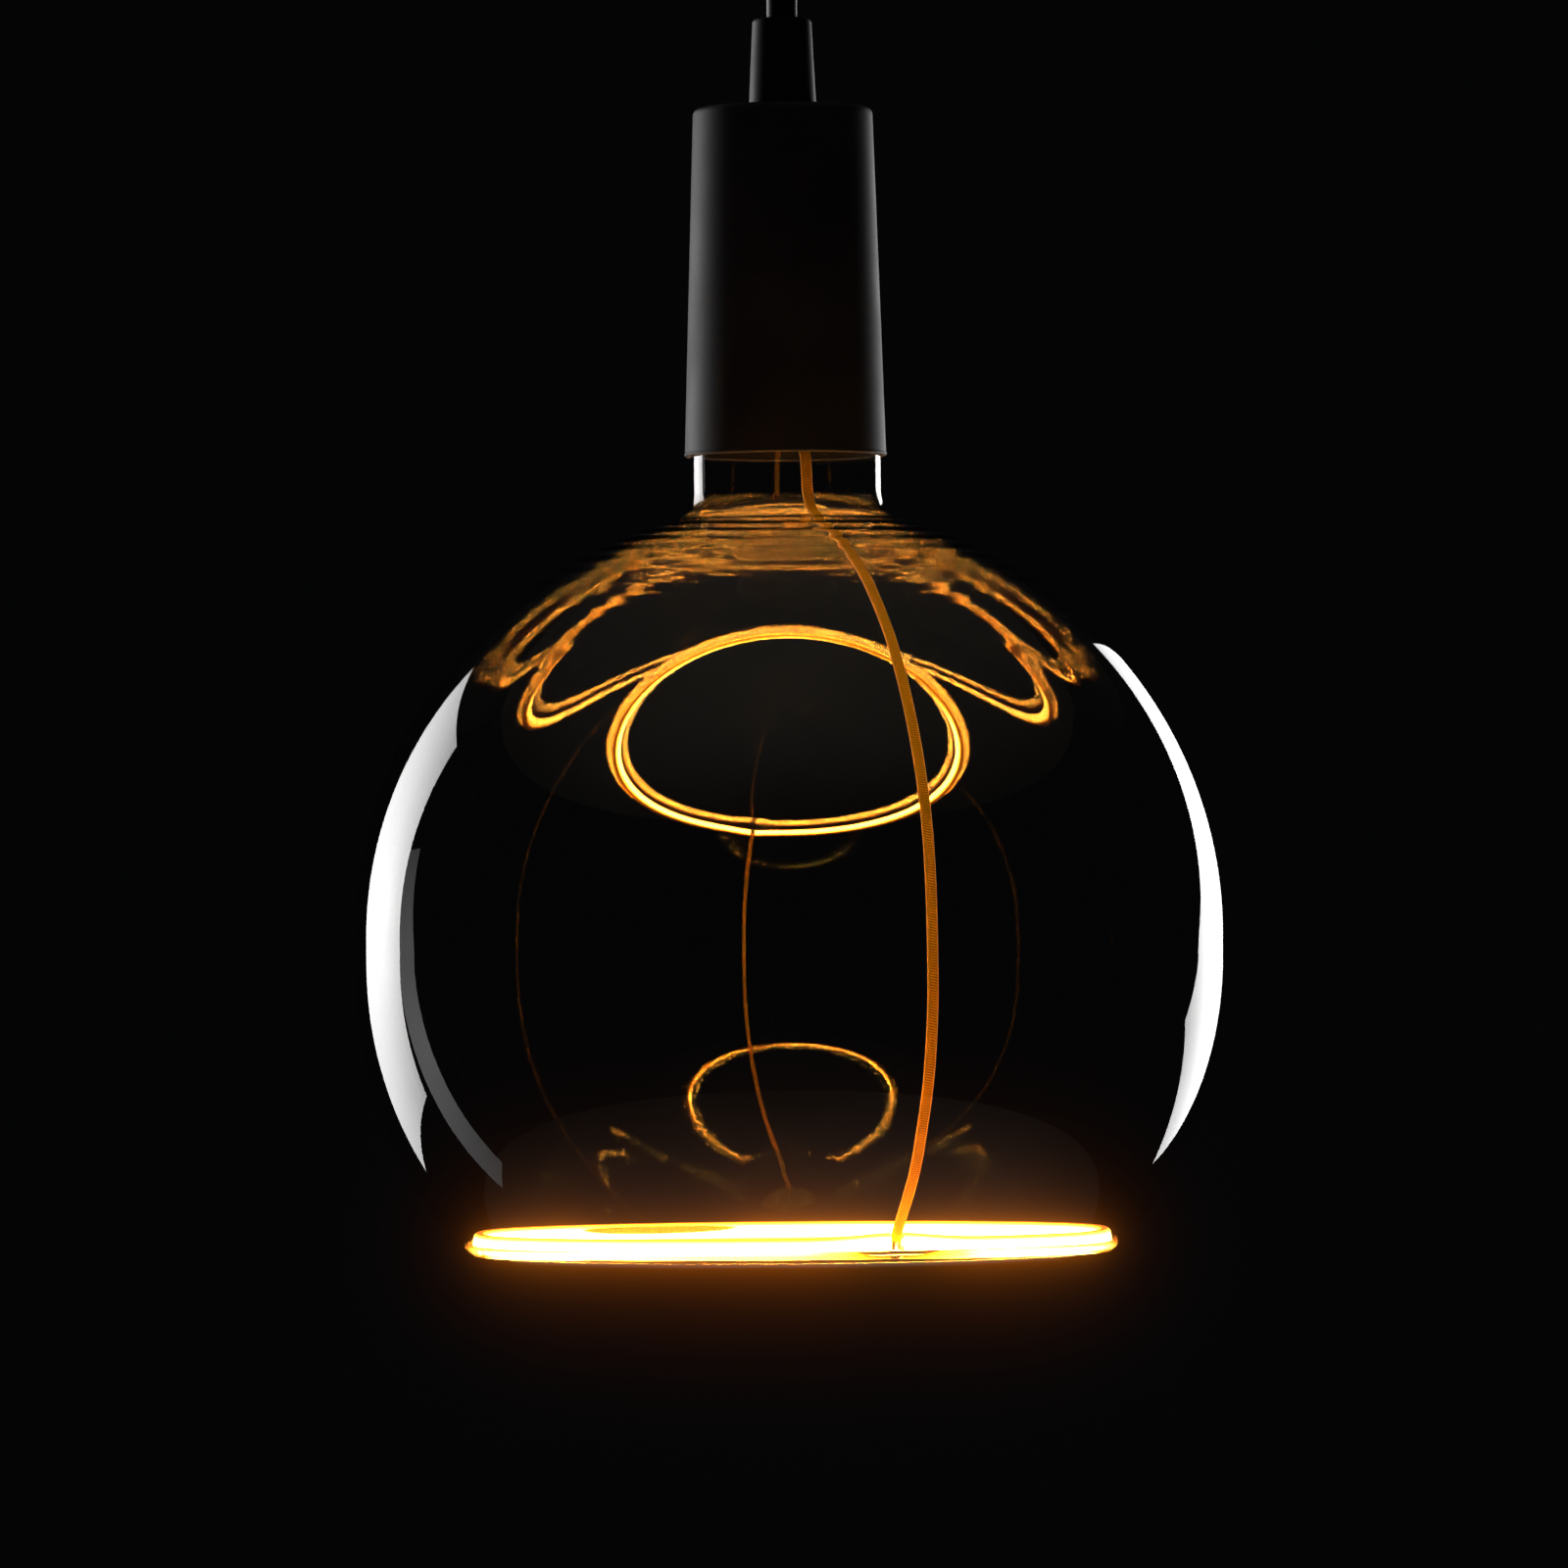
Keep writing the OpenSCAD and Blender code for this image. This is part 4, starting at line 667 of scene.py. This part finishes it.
class GLOBELAMP_OT_cap(bpy.types.Operator):
    """Finishes the screw cap, its insulator and the driver inside it"""

    bl_idname = "globe_lamp.cap"
    bl_label = "Screw Cap and Driver"

    def execute(self, context):
        """Gives each hidden part its own material."""
        # Brass shell, deep-drawn, rolled and nickel-plated: bright, turned lines round the thread
        dress(surface_finish("nickel_plate", "#9c9992", "#c8c5bd", grain_mm=0.2, depth_mm=0.006,
                             rough=0.26, spread=0.07, stretch=(0.2, 0.2, 2), metallic=1.0),
              "screw_cap")
        # Lamp cement, baked: chalky, pale buff, fine pits
        dress(surface_finish("lamp_cement", "#b8a983", "#ddd2b4", grain_mm=0.3, depth_mm=0.05,
                             rough=0.85, spread=0.05), "cap_cement")
        # Black vitreous insulator, pressed hot: near black with a deep purple cast and a wet gloss
        dress(surface_finish("black_glass", "#0b0a0f", "#1a1722", grain_mm=1.5, depth_mm=0.02,
                             rough=0.14, spread=0.05), "cap_insulator")
        # Brass, stamped and polished: warm yellow with fine scratches, dulled by handling
        dress(surface_finish("brass", "#9a7432", "#c9a55a", grain_mm=0.25, depth_mm=0.005,
                             rough=0.32, spread=0.09, metallic=1.0),
              "centre_contact", "socket_shell", "shell_link", "terminals", "earth_tag")
        # Polycarbonate liner, moulded: clean white with a faint sheen
        dress(surface_finish("white_plastic", "#d6d6d0", "#eaeae5", grain_mm=0.5, depth_mm=0.008,
                             rough=0.38, spread=0.05), "driver_liner")
        # Glass-cloth laminate with green solder mask: woven grain under a smooth lacquer
        dress(surface_finish("circuit_board", "#1d5a30", "#2f7a42", grain_mm=0.45, depth_mm=0.012,
                             rough=0.34, spread=0.06, coat_weight=0.4), "driver_board")
        # Capacitor sleeve, shrunk vinyl: deep blue-black, glossy
        dress(surface_finish("capacitor_sleeve", "#171b33", "#272d4d", grain_mm=0.8,
                             depth_mm=0.01, rough=0.25, spread=0.05), "smoothing_capacitor")
        # Enamelled copper winding: wound rows of fine wire, 0.25 mm from turn to turn
        dress(surface_finish("enamelled_copper", "#7e3a17", "#c06b35", grain_mm=0.25,
                             depth_mm=0.05, rough=0.3, spread=0.08, stretch=(0.05, 0.05, 1),
                             metallic=0.8), "choke_coil")
        # Black epoxy package, moulded: matt, slightly grey
        dress(surface_finish("black_epoxy", "#141416", "#232326", grain_mm=0.2, depth_mm=0.01,
                             rough=0.6, spread=0.06), "bridge_rectifier")
        # Resistor lacquer, dipped: grey-blue, semi-gloss, slightly orange-peeled
        dress(surface_finish("resistor_lacquer", "#4a6878", "#67879a", grain_mm=0.4,
                             depth_mm=0.02, rough=0.36, spread=0.05), "fuse_resistor")
        return {"FINISHED"}


class GLOBELAMP_OT_holder(bpy.types.Operator):
    """Makes the tapered sleeve and the grips, and finishes the lampholder inside"""

    bl_idname = "globe_lamp.holder"
    bl_label = "Holder"

    def grip(self, name, foot, way, height, sizes):
        """A tapered cap with a rounded end and a hole for the cord, turned. It stands on foot, and
        goes up where way is 1 or down where it is -1. The outline goes the other way round then,
        which keeps the faces outward."""
        hole = sizes.cord_d / 2 + 0.05 * MM
        corners = [(hole, 0), (sizes.grip_low_r, 0), (sizes.grip_top_r, height), (hole, height)]
        profile = rounded(corners, [0, 0.25 * MM, 1.0 * MM, 0.25 * MM], 8)
        profile = np.concatenate([profile, profile[:1]])[::way]
        profile[:, 1] = foot + way * profile[:, 1]
        return turned(name, profile, 96)

    def execute(self, context):
        """The sleeve's outline goes up outside from the rolled rim, over the top and down inside.
        Each grip is turned too, and the parts inside get their finishes."""
        sizes = context.scene.globe_lamp_holder
        wall, bead = sizes.sleeve_wall, sizes.rim_bead
        low, top, height = sizes.rim_r, sizes.top_r, sizes.sleeve_h
        hole = 5.2 * MM
        lean = math.degrees(math.acos(wall / 2 / bead))
        rim = arc((low - wall / 2, bead), bead, 180 - lean, 360 + lean, 18)
        corners = [(low, 2 * bead), (top, height), (hole, height), (hole, height - wall),
                   (top - wall, height - wall), (low - wall, 2 * bead)]
        body = rounded(corners, [0, 1.5 * MM, 0.15 * MM, 0.15 * MM, 0.8 * MM, 0], 9)
        profile = np.concatenate([rim, body, rim[:1]])
        profile[:, 1] += RIM
        sleeve = turned("sleeve_metal", profile, context.scene.globe_lamp_studio.segments)
        # Spun aluminium with a satin black powder coat: deep black, soft broad highlights and the
        # very fine orange peel of the baked powder, about 0.5 mm across
        coat = surface_finish("black_coated_metal", sizes.coat_dark, sizes.coat_light,
                              grain_mm=0.5, depth_mm=0.006, rough=0.58, spread=0.05,
                              specular_ior_level=0.35)
        finished(sleeve, coat, "holder", "black_coated_metal", "holder_sleeve")
        dress(coat, "ceiling_cup")

        # Black nylon, injection moulded: satin, with the fine spark texture of its mould
        moulding = surface_finish("black_moulding", sizes.moulding_dark, sizes.moulding_light,
                                  grain_mm=0.3, depth_mm=0.012, rough=0.55, spread=0.05,
                                  specular_ior_level=0.35)
        grip = self.grip("cord_grip_body", RIM + height, 1, GRIP_TOP - RIM - height, sizes)
        finished(grip, moulding, "holder", "black_moulding", "cord_grip")
        gland = self.grip("cup_gland_body", CUP_LOW, -1, CUP_LOW - GLAND_LOW, sizes)
        finished(gland, moulding, "holder", "black_moulding", "cup_gland")
        dress(moulding, "socket_body", "socket_cap")
        # Glazed steatite, pressed and fired: ivory, fine-grained, half gloss
        dress(surface_finish("steatite", "#cfc8b4", "#e8e3d4", grain_mm=0.4, depth_mm=0.015,
                             rough=0.35, spread=0.08), "contact_block")
        # Phosphor bronze strip, rolled and bent: reddish gold with lengthwise roll lines
        dress(surface_finish("phosphor_bronze", "#94602f", "#c08b50", grain_mm=0.2,
                             depth_mm=0.006, rough=0.33, spread=0.08, stretch=(0.2, 1, 1),
                             metallic=1.0), "centre_spring")
        # Steel with clear zinc plate: cool grey with a faint blue mottle
        dress(surface_finish("zinc_steel", "#84888c", "#b4b9bd", grain_mm=0.6, depth_mm=0.008,
                             rough=0.36, spread=0.1, metallic=1.0),
              "terminal_screws", "threaded_nipple", "lock_washer", "lock_nut", "gland_nipple",
              "gland_nut", "ceiling_bracket", "connector_screws")
        # Steel screws with a black oxide finish, oiled: dark with a low shine
        dress(surface_finish("black_steel", "#141416", "#26262a", grain_mm=0.2, depth_mm=0.006,
                             rough=0.34, spread=0.08, metallic=0.9), "cup_screws")
        # Natural nylon, moulded: milky white, soft sheen
        dress(surface_finish("natural_nylon", "#cfcfc6", "#e6e6de", grain_mm=0.5, depth_mm=0.01,
                             rough=0.42, spread=0.05),
              "grip_collet", "gland_collet", "connector_block")
        # Core insulation, extruded PVC: brown, blue and green, semi-matt and slightly uneven. The
        # cores in the ceiling cup are one node and share the brown
        for name, dark, light, node in (
                ("brown_insulation", "#4a2f1b", "#67452b", "core_live"),
                ("blue_insulation", "#1d4788", "#2f66b4", "core_neutral"),
                ("green_insulation", "#557f2a", "#7da541", "core_earth"),
                ("cup_core_insulation", "#4a2f1b", "#67452b", "cup_cores")):
            dress(surface_finish(name, dark, light, grain_mm=0.3, depth_mm=0.01, rough=0.45,
                                 spread=0.05), node)
        return {"FINISHED"}


class GLOBELAMP_OT_stage(bpy.types.Operator):
    """Sets up the pale floor, the dark room and the soft lights"""

    bl_idname = "globe_lamp.stage"
    bl_label = "Stage"

    def softbox(self, name, azimuth, height, width, tall, radiance, distance=1.2, lean=0):
        """A plain rectangular softbox with a grid, aimed at the globe. azimuth is measured from
        straight behind the lamp towards its right side, in degrees, and power = radiance times pi
        times area. lean rolls it about the way it faces. Rays that leave the glass don't see it,
        so only the outer faces mirror it."""
        lamp = bpy.data.lights.new(name, "AREA")
        lamp.shape = "RECTANGLE"
        lamp.size, lamp.size_y = width, tall
        lamp.energy = radiance * math.pi * width * tall
        lamp.spread = math.radians(70)
        box = bpy.data.objects.new(name, lamp)
        turn = math.radians(azimuth)
        place = Vector((distance * math.sin(turn), distance * math.cos(turn), height))
        away = place - Vector((0, 0, GLOBE_MIDDLE))
        box.matrix_world = (Matrix.Translation(place)
                            @ away.to_track_quat("Z", "Y").to_matrix().to_4x4()
                            @ Matrix.Rotation(math.radians(lean), 4, "Z"))
        box.visible_camera = box.visible_transmission = False
        bpy.context.scene.collection.objects.link(box)
        return box

    def execute(self, context):
        """A round floor, softboxes behind the lamp on both sides, which draw bright crescents in
        the glass, a weak one overhead, and a little glare in the lens."""
        studio = context.scene.globe_lamp_studio
        turn = np.linspace(0, 2 * np.pi, 129)
        reach = np.linspace(studio.floor_r, 0, 5)[:, None]
        disc = [reach * np.cos(turn), reach * np.sin(turn), studio.floor_z + 0 * reach * turn]
        floor = skin("floor", np.stack(disc, -1))
        # Matt painted board, rolled: pale warm grey, almost even
        floor.data.materials.append(surface_finish(
            "floor_paint", "#d2d0cb", "#dbd9d5", grain_mm=2.5, depth_mm=0.03, rough=0.75,
            spread=0.05))
        self.softbox("softbox_left", azimuth=-47, height=-0.21, width=0.53, tall=1.0,
                     radiance=studio.left_light, lean=3)
        self.softbox("softbox_left_edge", azimuth=-66, height=-0.54, width=0.17, tall=1.1,
                     radiance=0.13 * studio.left_light, lean=14)
        self.softbox("softbox_right", azimuth=33, height=-0.27, width=0.42, tall=0.9,
                     radiance=studio.right_light, lean=-42)
        fill = self.softbox("softbox_top", azimuth=180, height=1.2, width=1.4, tall=0.8,
                            radiance=studio.top_light, distance=0.5)
        fill.visible_glossy = False
        # The dim room is brightened in the picture, with deep blacks and a clear amber
        context.scene.view_settings.view_transform = "Standard"
        context.scene.view_settings.exposure = studio.exposure
        world = bpy.data.worlds.new("dark_room")
        world.use_nodes = True
        background = world.node_tree.nodes["Background"]
        background.inputs["Color"].default_value = linear("#1c1d20")
        background.inputs["Strength"].default_value = 0.01
        context.scene.world = world
        # The lens spreads a little of the filament's glare round it, as in the photograph
        context.scene.use_nodes = True
        tree = context.scene.node_tree
        tree.nodes.clear()
        picture = add(tree, "CompositorNodeRLayers").outputs["Image"]
        glare = add(tree, "CompositorNodeGlare", {
            "Image": picture, "Threshold": 1.0, "Strength": 0.02, "Size": 0.45,
            "Tint": (1, 0.72, 0.3, 1)}, glare_type="FOG_GLOW", quality="HIGH")
        add(tree, "CompositorNodeComposite", {"Image": glare.outputs["Image"]})
        return {"FINISHED"}


OPERATORS = (GLOBELAMP_OT_camera, GLOBELAMP_OT_supply_cord, GLOBELAMP_OT_globe,
             GLOBELAMP_OT_filament, GLOBELAMP_OT_cap, GLOBELAMP_OT_holder, GLOBELAMP_OT_stage)


class GLOBELAMP_PT_sidebar(bpy.types.Panel):
    """Lists the lamp's pieces and their sizes"""

    bl_label = "Globe Lamp"
    bl_idname = "GLOBELAMP_PT_sidebar"
    bl_space_type = "VIEW_3D"
    bl_region_type = "UI"
    bl_category = "Globe Lamp"

    def draw(self, context):
        """One button for each operator, then the sizes and colours."""
        for operator in OPERATORS:
            self.layout.operator(operator.bl_idname)
        for name, group in GROUPS.items():
            box = self.layout.box()
            box.label(text=name.replace("_", " ").title())
            for key in group.__annotations__:
                box.prop(getattr(context.scene, name), key)


CLASSES = (*GROUPS.values(), *OPERATORS, GLOBELAMP_PT_sidebar)


def register():
    """Registers the classes and puts the property groups on the scene."""
    for made in CLASSES:
        bpy.utils.register_class(made)
    for name, group in GROUPS.items():
        setattr(bpy.types.Scene, name, PointerProperty(type=group))


def unregister():
    """Takes the property groups and the classes away again."""
    for name in GROUPS:
        delattr(bpy.types.Scene, name)
    for made in reversed(CLASSES):
        bpy.utils.unregister_class(made)


def main():
    """Builds every piece in order."""
    register()
    for operator in OPERATORS:
        group, name = operator.bl_idname.split(".")
        getattr(getattr(bpy.ops, group), name)()


if __name__ == "__main__":
    main()
